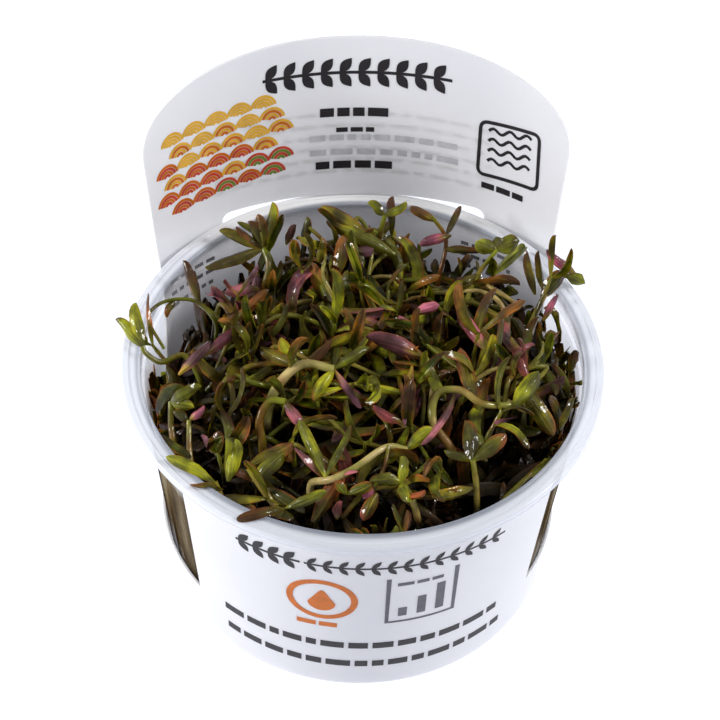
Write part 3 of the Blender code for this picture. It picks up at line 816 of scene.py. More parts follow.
def scallop_patch(inks, chance):
    """Rows of fans, a traditional wave pattern, from yellow at the top to red and green below."""
    radius, line_width, row_step, tilt = 2.6, 0.56, 3.1, 0.07
    for row in range(6):
        middle = 77.0 - row * row_step
        u = -42.0 + (radius if row % 2 else 0.0) + abs(row - 3) * 0.8
        last = -13.5 - abs(row - 2) * 0.6
        while u < last:
            colour = min(3, max(0, round(row / 2 + chance.uniform(-0.9, 0.9))))
            for ring, share in enumerate((1.0, 0.75, 0.50, 0.25)):
                sweep = [polar(radius * share, math.radians(angle)) for angle in range(12, 169, 12)]
                fan = [(u + a, middle + tilt * (u + 27) + b) for a, b in sweep]
                inks[colour if ring % 2 else max(0, colour - 1)].stroke(fan, line_width)
            u += 2 * radius


def make_print():
    chance = random.Random(SEED)
    inks = {name: ink_material("ink_" + name, colour) for name, colour in INKS.items()}

    # Panel: garland, dashes, a framed sign of waves, and the patch of fans
    header = Print(chance)
    header.garland(-18.6, 20.0, 6.4, 83.4, 0.34)
    header.dashes(-6.9, 8.2, 74.6, 1.9, (2.0, 4.4), 0.7)
    header.dashes(-3.5, 4.4, 70.6, 1.0, (1.6, 3.0), 0.6)
    header.dashes(-7.8, 8.3, 62.6, 1.7, (2.0, 4.4), 0.8)
    frame_corners = ((26.6, 64.4), (40.2, 65.3), (39.9, 77.4), (26.8, 76.2))
    header.stroke(rounded(frame_corners, 1.6), 0.75, closed=True)
    for level in range(4):
        header.stroke([(28.6 + 0.5 * i, 67.8 + 2.25 * level + 0.07 * i + 0.55 * math.sin(i * 0.84))
                       for i in range(20)], 0.62)
    header.dashes(27.6, 38.6, 62.1, 1.3, (1.8, 3.4), 0.5)
    header.lay("print_panel", inks["black"], on_panel)
    warm = ("yellow", "orange", "red", "green")
    patch = [Print(chance) for _ in warm]
    scallop_patch(patch, chance)
    for number, (fans, colour) in enumerate(zip(patch, warm), start=1):
        fans.lay(f"print_scallops_{number}", inks[colour], on_panel)
    ghost = Print(chance)
    for middle in (68.9, 65.6):
        ghost.dashes(-9.0, 22.5, middle, 1.3, (1.5, 5.0), 1.0)
    ghost.lay("print_show_through", inks["faint"], on_panel)

    # Flap: garlands, two rows of dashes, a ring with a drop, and a chart of bars
    front = Print(chance)
    front.garland(-26.6, -14.0, 5.8, 44.5, 0.30)
    front.garland(-12.6, 26.6, 4.8, 44.5, 0.24)
    front.dashes(-30.5, 29.5, 15.9, 2.1, (1.6, 5.0), 0.9)
    front.dashes(-30.0, 29.5, 8.8, 2.1, (1.6, 5.0), 0.9)
    front.lay("print_flap", inks["black"], on_flap)
    sign = Print(chance)
    ring = [polar(6.3, math.tau * i / 48) for i in range(48)]
    sign.stroke([(-9.4 + a, 32.4 + b) for a, b in ring], 1.3, closed=True)
    drop = [(math.cos(turn), math.sin(turn), max(0.0, math.sin(turn)))
            for turn in (math.tau * i / 28 for i in range(28))]
    sign.polygon([(-9.4 + 2.7 * a * (1 - 0.42 * peak), 31.2 + 2.7 * b + 1.9 * peak ** 3)
                  for a, b, peak in drop])
    sign.dashes(-14.2, -4.6, 23.4, 1.5, (2.2, 4.0), 0.6)
    sign.lay("print_drop", inks["orange"], on_flap)
    bars = Print(chance)
    bars.stroke([(3.2, 40.4), (3.2, 24.6), (16.6, 24.6), (16.6, 40.4)], 0.9)
    for i in range(3):
        bars.stroke([(6.2 + 3.7 * i, 26.6), (6.2 + 3.7 * i, 29.6 + 3.2 * i)], 1.7)
    bars.dashes(4.9, 15.6, 38.2, 1.0, (2.0, 3.6), 0.6)
    bars.lay("print_bars", inks["grey"], on_flap)

    # Small print on the panel's back, and inside by the cup's wall
    behind = Print(chance)
    for level in range(6):
        behind.dashes(-30.0, 30.0, 74.0 - 2.6 * level, 0.8, (1.5, 6.0), 1.1)
    behind.lay("print_behind", inks["grey"], on_panel_back)
    inside = Print(chance)
    for start in (-43.0, 24.0):
        for level in range(3):
            inside.dashes(start, start + 12.0, 47.0 - 2.6 * level, 0.8, (0.8, 2.6), 0.8)
    inside.lay("print_inside", inks["grey"], on_panel)


def rounded(corners, radius, steps=6):
    """The outline of a polygon with its corners rounded off."""
    points = []
    for i, corner in enumerate(map(Vector, corners)):
        back = (Vector(corners[i - 1]) - corner).normalized() * radius
        ahead = (Vector(corners[(i + 1) % len(corners)]) - corner).normalized() * radius
        for t in (step / steps for step in range(steps + 1)):
            point = corner + back * (1 - t) ** 2 + ahead * t ** 2
            points.append((point.x, point.y))
    return points


# Plants

def unit(vector):
    return vector / max(1e-12, float(np.linalg.norm(vector)))


def turned(vector, axis, angle):
    """The vector turned about a unit axis."""
    return (vector * math.cos(angle) + np.cross(axis, vector) * math.sin(angle)
            + axis * float(axis @ vector) * (1.0 - math.cos(angle)))


def foliage_top(x, y):
    """Height that the tips reach: lowest at the rim, highest before the back panel."""
    away = math.hypot(x, y) / 0.040
    swell = 0.0016 * math.sin(x * 170 + 1.1) * math.cos(y * 150 + 0.5)
    beside_wall = min(1.0, max(-x, y, 0.2 * x, 0.0) / 0.030)
    drop = 0.0012 * away ** 5 + 0.0100 * beside_wall * away ** 9
    return FOLIAGE_TOP + FOLIAGE_RISE * y + swell - drop


def kept_in(points, gap=PLANT_GAP, over_rim=False):
    """Moves points off the cup's wall and the panel behind it, and off the flange if they hang over."""
    out = np.array(points, float)
    away = np.hypot(out[:, 0], out[:, 1])
    above = out[:, 2] > CUP_HEIGHT - 0.0010
    limit = cup_inner_radius(out[:, 2]) - gap
    if over_rim:
        on_flange = above & (away > SEAT_RADIUS - WALL_THICKNESS - gap)
        out[on_flange, 2] = np.maximum(out[on_flange, 2], CUP_HEIGHT + gap)
        limit = np.where(above, OVERHANG_LIMIT, limit)
    else:
        limit = limit + np.clip((out[:, 2] - CUP_HEIGHT - 0.0015) * 0.8, 0.0, 0.0020)
    out[:, :2] *= np.minimum(1.0, limit / np.maximum(away, 1e-6))[:, None]
    for i in np.nonzero((out[:, 2] > SLOT_BOTTOM - 0.001) & (out[:, 1] > 0.015))[0]:
        level = max(out[i, 2], CUP_HEIGHT)
        bend = panel_bend_radius(level)
        axis_y = panel_depth(level) - bend
        span = math.hypot(out[i, 0], out[i, 1] - axis_y)
        most = bend - SHEET - 2 * gap
        if span > most:
            out[i, 0] *= most / span
            out[i, 1] = axis_y + (out[i, 1] - axis_y) * most / span
    out[:, 2] = np.maximum(out[:, 2], FLOOR_THICKNESS + gap)
    return out


def painted_light_share(points):
    """Painted light for each point, which the materials turn into painted shade: little deep in the
    tangle, all at the tips, more by the clear wall.
    """
    depth = FOLIAGE_TOP + FOLIAGE_RISE * points[:, 1] - points[:, 2]
    reach = LIGHT_DEPTH + LIGHT_DEPTH_GROWTH * points[:, 1]
    by_wall = WALL_PAINTED_LIGHT * np.clip((np.hypot(points[:, 0], points[:, 1]) - 0.033) / 0.006, 0.0, 1.0)
    return np.clip(1.0 - depth / reach + by_wall, 0.0, 1.0)


def leaf_profile(widest_from=0.42, widest_to=0.66):
    """Share of the half width at each station: a narrow stalk, widest past the middle, round tip."""
    shares = []
    for t in LEAF_STATIONS:
        if t < widest_from:
            shares.append(0.26 + 0.74 * math.sin(math.pi / 2 * t / widest_from) ** 1.2)
        elif t < widest_to:
            shares.append(1.0)
        else:
            shares.append(max(0.14, (1.0 - ((t - widest_to) / 0.34) ** 2.4) ** 0.5))
    return np.array(shares)


def tube_faces(rings, sides):
    """Faces of a closed tube of rings, with a face over each end."""
    faces = []
    for i in range(rings - 1):
        for j in range(sides):
            k = (j + 1) % sides
            faces.append((i * sides + j, i * sides + k, (i + 1) * sides + k, (i + 1) * sides + j))
    first = tuple(range(sides))
    last = tuple((rings - 1) * sides + j for j in first)
    return faces + [first[::-1], last]


def colour_rows(count, *channels):
    """Four colour channels for each point, from single values or rows of them."""
    return np.stack([np.broadcast_to(channel, count) for channel in channels], axis=1)


LEAF_PROFILE = leaf_profile()
LEAF_FACES = [face[::-1] for face in tube_faces(len(LEAF_STATIONS), len(LEAF_ACROSS))]


class Growth:
    """Gathers stems and leaves and makes them one mesh. Stems use the second material."""

    def __init__(self, light=None, gain=1.0):
        self.points, self.faces, self.slots = [], [], []
        self.looks, self.moods = [], []
        self.count = 0
        self.light = light
        self.gain = gain

    # Painted light of each point, which the materials turn into painted shade: the fixed value, or the
    # share by depth times the gain
    def lit(self, points):
        return np.minimum(1.0, self.gain * painted_light_share(points)) if self.light is None else self.light

    def add(self, points, faces, slot, looks, moods):
        self.points.append(points)
        self.faces.extend([tuple(self.count + i for i in face) for face in faces])
        self.slots.extend([slot] * len(faces))
        self.looks.append(looks)
        self.moods.append(moods)
        self.count += len(points)

    def leaf(self, line, side, width, chance, mood, fold, over_rim=False):
        """A closed leaf round a midline: keeled, thickest at the rib, rounded at the tip."""
        tone, blush, youth = mood
        stations = np.array(LEAF_STATIONS)
        heading = np.gradient(line, axis=0)
        heading /= np.linalg.norm(heading, axis=1)[:, None]
        sides = side[None, :] - heading * (heading @ side)[:, None]
        sides /= np.linalg.norm(sides, axis=1)[:, None]
        ups = np.cross(heading, sides)
        twist = chance.uniform(-1.1, 1.1) * stations[:, None]
        sides, ups = (sides * np.cos(twist) + ups * np.sin(twist),
                      ups * np.cos(twist) - sides * np.sin(twist))
        half = width / 2 * LEAF_PROFILE
        wave = fold + 0.12 * np.sin(stations * 9 + chance.uniform(0, 6))
        thickness = LEAF_THICKNESS * (0.55 + 0.45 * LEAF_PROFILE)
        across = LEAF_ACROSS[None, :] * half[:, None]
        lift = (wave[:, None] * np.abs(LEAF_ACROSS)[None, :] ** 1.2 * half[:, None]
                + LEAF_SKIN[None, :] * thickness[:, None])
        points = (line[:, None, :] + sides[:, None, :] * across[:, :, None]
                  + ups[:, None, :] * lift[:, :, None]).reshape(-1, 3)
        points = kept_in(points, PLANT_GAP / 2, over_rim)
        count, ring = len(points), len(LEAF_ACROSS)
        looks = colour_rows(count, np.repeat(stations, ring),
                            np.tile(LEAF_ACROSS * 0.5 + 0.5, len(stations)), tone, blush)
        # The last channel is the painted light
        moods = colour_rows(count, youth, chance.random(),
                            np.tile(LEAF_SKIN < -0.5, len(stations)), self.lit(points))
        self.add(points, LEAF_FACES, 0, looks, moods)

    def stem(self, line, radii, chance, tone, over_rim=False):
        """A round stem through the points."""
        count = len(line)
        heading = np.gradient(line, axis=0)
        heading /= np.linalg.norm(heading, axis=1)[:, None]
        side = unit(np.cross(heading[0], (0.31, 0.52, 0.79)))
        rows = []
        for i in range(count):
            side = unit(side - heading[i] * float(heading[i] @ side))
            up = np.cross(heading[i], side)
            for angle in (math.tau * j / STEM_SIDES for j in range(STEM_SIDES)):
                rows.append(line[i] + radii[i] * (side * math.cos(angle) + up * math.sin(angle)))
        points = kept_in(np.array(rows), PLANT_GAP / 2, over_rim)
        along = np.repeat(np.linspace(0, 1, count), STEM_SIDES)
        looks = colour_rows(len(points), along, 0.5, tone, 0.0)
        roll = chance.random()
        # The last channel is the painted light
        moods = colour_rows(len(points), roll, roll, roll, self.lit(points))
        self.add(points, tube_faces(count, STEM_SIDES), 1, looks, moods)

    def make(self, name, materials, slot, replaced=()):
        mesh = bpy.data.meshes.new(name)
        mesh.from_pydata(np.vstack(self.points).tolist(), [], self.faces)
        mesh.polygons.foreach_set("material_index", self.slots)
        for label, rows in (("look", self.looks), ("mood", self.moods)):
            colours = mesh.attributes.new(label, "FLOAT_COLOR", "POINT")
            colours.data.foreach_set("color", np.vstack(rows).astype(np.float32).ravel())
        mesh.shade_smooth()
        mesh.set_sharp_from_angle(angle=math.radians(75))
        add_piece(name, mesh, materials, slot, replaced)


def leaf_line(root, heading, side, length, bend, drift):
    """A midline that sets out along a heading and bends about its side, with a little drift."""
    normal = np.cross(heading, side)
    points = [root]
    at = root
    for before, t in zip(LEAF_STATIONS[:-1], LEAF_STATIONS[1:]):
        middle = 0.5 * (t + before)
        way = turned(turned(heading, side, -bend * middle), normal, drift * middle)
        at = at + way * (length * (t - before))
        points.append(at)
    return kept_in(np.array(points))


def smooth_line(controls, count):
    """Points evenly along a Catmull-Rom curve through the control points."""
    controls = [2 * controls[0] - controls[1]] + list(controls) + [2 * controls[-1] - controls[-2]]
    spans = len(controls) - 3
    out = []
    for i in range(count):
        s = i / (count - 1) * spans
        k = min(int(s), spans - 1)
        t = s - k
        a, b, c, d = controls[k:k + 4]
        out.append(0.5 * (2 * b + (c - a) * t + (2 * a - 5 * b + 4 * c - d) * t * t
                          + (3 * b - a - 3 * c + d) * t ** 3))
    return np.array(out)


def mood_of(chance, kind):
    """Tone, blush and youth of a leaf for a kind of colouring."""
    tone, blush, *youth = [chance.uniform(*span) for span in MOODS[kind]]
    if kind in ("green", "olive"):
        tone **= GREEN_LEAN
    return tone, blush, youth[0] if youth else 0.0


class Shown:
    """Points of the listed shoots, which no other leaf covers from the photograph's side."""

    def __init__(self):
        self.points = np.zeros((0, 3))
        self.toward = unit(np.array(camera_frame().translation) - np.array((0.0, 0.0, CUP_HEIGHT)))

    def keep(self, line):
        self.points = np.vstack([self.points, line])

    def covered_by(self, line):
        gap = line[2:, None, :] - self.points[None, :, :]
        before = gap @ self.toward
        aside = np.linalg.norm(gap - before[:, :, None] * self.toward, axis=2)
        return bool(np.any((before > 0.0002) & (aside < SHOWN_CLEARANCE)))


class Planter:
    """Grows shoots out of one run of random draws, clear of the listed shoots."""

    def __init__(self, chance, shown, materials, stem):
        self.chance = chance
        self.shown = shown
        self.materials = materials
        self.stem = stem

    def make(self, growth, name, slot, replaced=()):
        growth.make(name, [self.materials[slot], self.stem], slot, replaced)

    def pair(self, growth, line, place, first, at_tip, size, kind, missing, may_cover=False):
        """Two leaves across a joint: long and spread at a shoot's foot, short and closed at its tip."""
        chance = self.chance

        def drawn(ranges):
            return chance.uniform(*ranges[0]) * (1 - at_tip) + chance.uniform(*ranges[1]) * at_tip

        heading = unit(line[place] - line[max(0, place - 1)])
        out = unit(first - heading * float(first @ heading))
        for way in (1, -1):
            if chance.random() < missing:
                continue
            spread = math.radians(drawn(LEAF_SPREADS))
            ahead = unit(heading * math.cos(spread) + out * way * math.sin(spread))
            side = unit(np.cross(out * way, heading))
            long = size * drawn(LEAF_LENGTHS)
            bend = math.radians(chance.triangular(-100, 150, 30))
            drift = math.radians(chance.uniform(-75, 75))
            middle = leaf_line(line[place], ahead, side, long, -bend, drift)
            too_high = middle[-1, 2] > foliage_top(middle[-1, 0], middle[-1, 1]) + CROWN
            if not may_cover and (self.shown.covered_by(middle) or too_high):
                continue
            wide = min(WIDEST_LEAF, long * chance.uniform(0.14, 0.22))
            wide *= 1.1 if kind == "lime" else 1.0
            leaf_kind = kind
            if kind in ("green", "brown") and chance.random() < 0.10:
                leaf_kind = chance.choice(("pink", "brown", "lime"))
            tone, blush, youth = mood_of(chance, leaf_kind)
            youth = max(youth, at_tip * chance.uniform(0.0, 0.45))
            fold = chance.uniform(0.3, 1.5)
            growth.leaf(middle, side, wide, chance, (tone, blush, youth), fold)

    def shoot(self, growth, base, apex, pairs, size, kind, bow, keep_tip=False):
        """A bowed stem with crossed pairs of leaves that get smaller towards its tip."""
        chance = self.chance
        base, apex = np.array(base, float), np.array(apex, float)
        length = float(np.linalg.norm(apex - base))
        axis = unit(apex - base)
        sway = unit(np.cross(axis, [chance.uniform(-1, 1) for _ in range(3)]))
        middle = base + (apex - base) * 0.5 + sway * length * chance.uniform(-bow, bow)
        last = 3 + 3 * pairs
        line = kept_in(smooth_line([base, middle, apex], last + 1))
        width = chance.uniform(0.00045, 0.00075) * size
        radii = [width * (1.0 - 0.45 * i / last) * (1.22 if i % 3 == 1 else 1.0)
                 for i in range(last + 1)]
        growth.stem(line, radii, chance, chance.random())
        first = turned(unit(np.cross(axis, (0.2, 0.9, 0.35))), axis, chance.uniform(0, math.tau))
        for pair in range(pairs):
            place = min(last, int(round((0.22 + 0.78 * (pair + 1) / pairs) * last)))
            at_tip = pair / max(1, pairs - 1)
            across = turned(first, axis, pair * math.pi / 2 + chance.uniform(-0.35, 0.35))
            is_last = pair == pairs - 1
            missing = 0.0 if is_last else 0.12
            self.pair(growth, line, place, across, at_tip, size, kind, missing, keep_tip and is_last)


def make_runners(planter):
    """Long stems that wind over the top of the tangle, with a pair of leaves at each joint."""
    chance = planter.chance
    growths = {}
    steps = RUNNER_JOINTS[-1] + 1
    choices = (("green_leaf", "green"), ("olive_leaf", "green"), ("olive_leaf", "brown"),
               ("green_leaf", "green"), ("lime_leaf", "lime"), ("red_leaf", "pink"))
    for _ in range(RUNNERS):
        slot, kind = chance.choice(choices)
        away, turn = RUNNER_START_FIELD * math.sqrt(chance.random()), chance.uniform(0, math.tau)
        x, y = polar(away, turn)
        way = chance.uniform(0, math.tau)
        arch = chance.uniform(*RUNNER_ARCHES)
        controls = []
        for step in range(5):
            rise = arch * math.sin(math.pi * step / 4)
            z = foliage_top(x, y) - chance.uniform(*RUNNER_DEPTHS) + rise
            controls.append(np.array((x, y, z)))
            way += chance.uniform(-0.8, 0.8)
            ahead = np.array(polar(1.0, way)) * chance.uniform(*RUNNER_STRIDES)
            if math.hypot(x + ahead[0], y + ahead[1]) > RUNNER_FIELD:
                way += math.pi * 0.7
                ahead = -ahead
            x, y = x + ahead[0], y + ahead[1]
        controls[0] = controls[0] - STALK_ROOT
        line = kept_in(smooth_line(controls, steps))
        if planter.shown.covered_by(line):
            line = line - RUNNER_DUCK
        width = chance.uniform(0.00045, 0.00070)
        radii = [width * (1.0 - 0.35 * i / steps) * (1.2 if i + 1 in RUNNER_JOINTS else 1.0)
                 for i in range(steps)]
        growth = growths.setdefault(slot, Growth())
        growth.stem(line, radii, chance, chance.uniform(0.25, 0.95))
        first = unit(np.array([chance.uniform(*span) for span in ((-1, 1), (-1, 1), (-0.6, 1.2))]))
        for number, place in enumerate(RUNNER_JOINTS):
            across = turned(first, UP, number * 1.4)
            planter.pair(growth, line, place, across, number / 3, 1.05, kind, 0.2)
    for slot, growth in sorted(growths.items()):
        planter.make(growth, f"runners_{slot.split('_')[0]}", slot)


def make_frame_shoots(planter):
    """A fine shoot in place of each of the frame's own, from its foot to near its tip."""
    chance = planter.chance
    slots = {entry["node"]: entry.get("material_slot") for entry in frame["record"].get("subparts", [])}
    kinds = {"olive_leaf": "brown", "green_leaf": "green", "lime_leaf": "lime", "red_leaf": "pink"}
    for name in sorted(name for name in frame["nodes"] if name.startswith("shoot_")):
        slot = slots.get(name) or "olive_leaf"
        low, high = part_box(name)
        points = [vert.co.copy() for vert in bpy.data.objects[name].data.vertices]
        lowest = sorted(points, key=lambda point: point.z)[:8]
        foot = np.array(sum(lowest, Vector()) / len(lowest))
        tip = np.array(((low.x + high.x) / 2, (low.y + high.y) / 2, high.z))
        kind = kinds[slot] if slot != "olive_leaf" or chance.random() < 0.4 else "green"
        lower = 0.0085 + 0.0025 * min(1.0, max(0.0, tip[1]) / 0.030)
        growth = Growth()
        planter.shoot(growth, foot - UP * 0.006, tip - UP * lower, 4, 0.95, kind, 0.25, True)
        planter.make(growth, name.replace("shoot", "fine_shoot"), slot, [name])


def make_filling(planter):
    """Shoots between those of the frame, at all angles, joined by colour."""
    chance = planter.chance
    slots = ("olive_leaf", "green_leaf", "olive_leaf", "green_leaf")
    growths = {}
    rows = int(FILLING_GRID / (FILLING_SPACING * FILLING_ROW_SHARE)) + 1
    for row in range(-rows, rows + 1):
        for column in range(-rows, rows + 1):
            x = (column + 0.5 * (row % 2)) * FILLING_SPACING + chance.uniform(*FILLING_JITTER)
            y = row * FILLING_SPACING * FILLING_ROW_SHARE + chance.uniform(*FILLING_JITTER)
            if math.hypot(x, y) > FILLING_FIELD:
                continue
            roll = chance.random()
            slot = slots[int(roll * 97) % 4]
            if roll < 0.12:
                slot = "red_leaf" if roll < 0.06 else "lime_leaf"
            kind = {"red_leaf": "pink", "lime_leaf": "lime"}.get(slot)
            kind = kind or ("brown" if chance.random() < 0.20 else "green")
            lying = chance.random() < LYING_SHARE
            lean = math.radians(chance.uniform(*(LYING_LEANS if lying else UPRIGHT_LEANS)))
            turn = chance.uniform(0, math.tau)
            length = chance.uniform(*(LYING_LENGTHS if lying else UPRIGHT_LENGTHS))
            shift = np.array(polar(1.0, turn)) * (length * math.sin(lean))
            if math.hypot(x + shift[0], y + shift[1]) > FILLING_FIELD + 0.0010:
                shift = -shift
            top = foliage_top(x + shift[0], y + shift[1]) - chance.triangular(0.005, 0.018, 0.008)
            top -= 0.0025 * min(1.0, max(0.0, y + shift[1]) / 0.020)
            top -= 0.0028 * min(1.0, max(0.0, -y - shift[1]) / 0.020)
            growth = growths.setdefault((slot, 0 if y > 0 else 1), Growth())
            pairs, size = chance.choice((3, 3, 4)), chance.uniform(0.80, 1.08)
            base, apex = (x, y, top - length * math.cos(lean)), (x + shift[0], y + shift[1], top)
            planter.shoot(growth, base, apex, pairs, size, kind, 0.35)
    for number in range(RIM_SHOOTS):
        turn = math.tau * (number + chance.uniform(-0.4, 0.4)) / RIM_SHOOTS
        ahead = turn + math.radians(chance.uniform(-14, 14))
        base = (*polar(RIM_FOOT_RADIUS, turn), chance.uniform(0.028, 0.034))
        x, y = polar(RIM_TIP_RADIUS, ahead)
        lower = 0.0060 * min(1.0, max(-x, y, 0.0) / 0.020)
        apex = (x, y, min(0.0500, foliage_top(x, y) - chance.uniform(0.001, 0.006)) - lower)
        growth = growths[chance.choice(slots), 0 if y > 0 else 1]
        planter.shoot(growth, base, apex, 3, 0.85, chance.choice(("green", "green", "brown")), 0.3)
    for (slot, index), growth in sorted(growths.items()):
        planter.make(growth, f"filling_{slot.split('_')[0]}_{('back', 'front')[index]}", slot)


def core_top(x, y):
    ridges = math.sin(x * 730 + 2 * math.sin(y * 410)) * math.cos(y * 690 + 2 * math.sin(x * 370))
    return TANGLE_MEAN_TOP - CORE_DEPTH + CORE_ROUGHNESS * ridges + TANGLE_RISE_BACK * y


def make_core():
    """The mass of lower stems and leaves, a lumpy body that fills the cup, coloured dark with painted
    shade.
    """
    chance = random.Random(SEED + 1)
    mesh = bmesh.new()
    segments = 96
    floor = FLOOR_THICKNESS + FIT_GAP
    rings = []
    for share, level in CORE_WALL:
        z = floor + (TANGLE_MEAN_TOP - CORE_DEPTH - 0.002 - floor) * level
        radius = share * (float(cup_inner_radius(z)) - FIT_GAP)
        around = [polar(radius - chance.uniform(0.0, 0.0003), math.tau * i / segments)
                  for i in range(segments)]
        rings.append([mesh.verts.new((x, y, z)) for x, y in around])
    for share in CORE_CROWN:
        radius, offset = share * CORE_CROWN_RADIUS, 0.5 * (len(rings) % 2)
        around = [polar(radius, math.tau * (i + offset) / segments) for i in range(segments)]
        rings.append([mesh.verts.new((x, y, core_top(x, y) + chance.uniform(-0.0006, 0.0006)))
                      for x, y in around])
    foot = mesh.verts.new((0.0, 0.0, floor))
    crown = mesh.verts.new((0.0, 0.0, core_top(0.0, 0.0)))
    skin(mesh, rings, closed=True)
    for i in range(segments):
        j = (i + 1) % segments
        mesh.faces.new((foot, rings[0][j], rings[0][i]))
        mesh.faces.new((crown, rings[-1][i], rings[-1][j]))
    core = smooth_mesh(mesh, "tangle_core")
    add_piece("tangle_core", core, [core_material()], "dark_foliage", ["stem_tangle"])


def wall_point(angle, z, inset):
    """The way out from the axis and a point inside the cup's wall, by the angle from the front."""
    outward = np.array((math.sin(angle), -math.cos(angle), 0.0))
    return outward, outward * (float(cup_inner_radius(z)) - inset) + UP * z


def make_wall_leaves(chance, materials):
    """Leaves and stems pressed on the inside of the clear wall, lit through the side windows; their
    light is painted, one value for each group.
    """
    # Painted light: 0.8 for the leaves and stems in the side windows, 0.5 with more painted shade for
    # the hidden leaves
    window, hidden = Growth(0.8), Growth(0.5)
    leaves, window_leaves, stems = 420, 230, 26
    first, last = math.radians(44), math.radians(150)
    for side in (-1, 1):
        for number in range(leaves):
            in_window = number < window_leaves
            growth = window if in_window else hidden
            angle = side * (chance.uniform(first, last) if in_window else chance.uniform(0.0, math.pi))
            z = chance.uniform(0.004, 0.044) if in_window else chance.uniform(0.020, 0.034)
            tilt = math.radians(chance.gauss(0, 24 if in_window else 40))
            long = chance.uniform(0.009, 0.0135)
            most = 0.0480 if in_window and abs(angle) < WINDOW_FRONT else 0.0370
            z = min(z, most - long * abs(math.cos(tilt)))
            outward, root = wall_point(angle, z, chance.uniform(0.0003, 0.0009))
            heading = unit(UP * math.cos(tilt) + np.array((*polar(1.0, angle), 0.0)) * math.sin(tilt))
            side_way = unit(np.cross(heading, outward))
            bend, drift = math.radians(chance.uniform(-18, 18)), math.radians(chance.uniform(-30, 30))
            line = leaf_line(root, heading, side_way, long, bend, drift)
            mood = mood_of(chance, chance.choice(("green", "brown", "brown", "brown", "pink")))
            growth.leaf(line, side_way, long * chance.uniform(0.2, 0.3), chance, mood, 0.06)
        for _ in range(stems):
            angle = side * chance.uniform(first, last)
            z = chance.uniform(0.003, 0.018)
            controls = []
            for step in range(4):
                controls.append(wall_point(angle, z, 0.0011)[1])
                angle += math.radians(chance.uniform(-9, 9))
                z += chance.uniform(0.006, 0.011)
            line = kept_in(smooth_line(controls, 12), 0.0008)
            window.stem(line, [0.00055] * 12, chance, chance.uniform(0.1, 0.8))
    window.make("window_leaves", materials, "olive_leaf")
    hidden.make("wall_leaves", materials, "olive_leaf")


class Seen:
    """The shoots that stand out in the photograph, placed one by one in millimetres."""

    slots = {"green": "green_leaf", "deep": "green_leaf", "lime": "lime_leaf", "pink": "red_leaf"}

    def __init__(self, chance):
        self.chance = chance
        self.growths = {}
        self.shown = Shown()

    def growth(self, kind):
        return self.growths.setdefault(self.slots.get(kind, "olive_leaf"), Growth(gain=SEEN_PAINTED_LIGHT_GAIN))

    def place(self, point):
        """A point in metres, raised towards the viewer of the photograph unless it is by the wall."""
        point = np.array(point, float)
        clear = min(1.0, max(0.0, (38.0 - math.hypot(point[0], point[1])) / 6.0))
        return (point + clear * RAISE) * MM

    def stalk(self, thick, tone, *controls):
        """A stem through the points, which goes on down below the first."""
        points = [self.place(point) for point in controls]
        points.insert(0, points[0] - STALK_ROOT)
        count = 6 * len(points)
        line = kept_in(smooth_line(points, count), PLANT_GAP, True)
        self.shown.keep(line)
        radii = [thick / 2 * MM * (1.12 - 0.3 * i / count) for i in range(count)]
        self.growth("olive").stem(line, radii, self.chance, tone, True)

    def blade(self, root, tip, width, kind, bow, turn=0.0):
        """A leaf from root to tip that bows up, its face turned to the camera and then by turn."""
        root, tip = self.place(root), self.place(tip)
        chord = unit(tip - root)
        facing = turned(unit(np.cross(chord, np.cross(TOWARD_CAMERA, chord))), chord,
                        math.radians(turn + self.chance.uniform(-28, 28)))
        crest = (root + tip) / 2 + facing * bow * MM * 2
        t = np.array(LEAF_STATIONS)[:, None]
        line = (1 - t) ** 2 * root + 2 * t * (1 - t) * crest + t ** 2 * tip
        self.shown.keep(line)
        tone, blush, youth = mood_of(self.chance, kind)
        if kind == "pink":
            blush = 0.70 + 0.27 * blush
        line = kept_in(line, PLANT_GAP, True)
        side = unit(np.cross(chord, facing))
        self.growth(kind).leaf(line, side, width * MM, self.chance, (tone, blush, youth), 0.65, True)

    def fan(self, root, *leaves):
        """Leaves from one root, each by its tip, width, kind and bow, and a turn of its face."""
        for leaf in leaves:
            self.blade(root, *leaf)

    def leaves(self, kind, *leaves):
        """Leaves of one kind, each by its root, tip, width and bow."""
        for root, tip, width, bow in leaves:
            self.blade(root, tip, width, kind, bow)


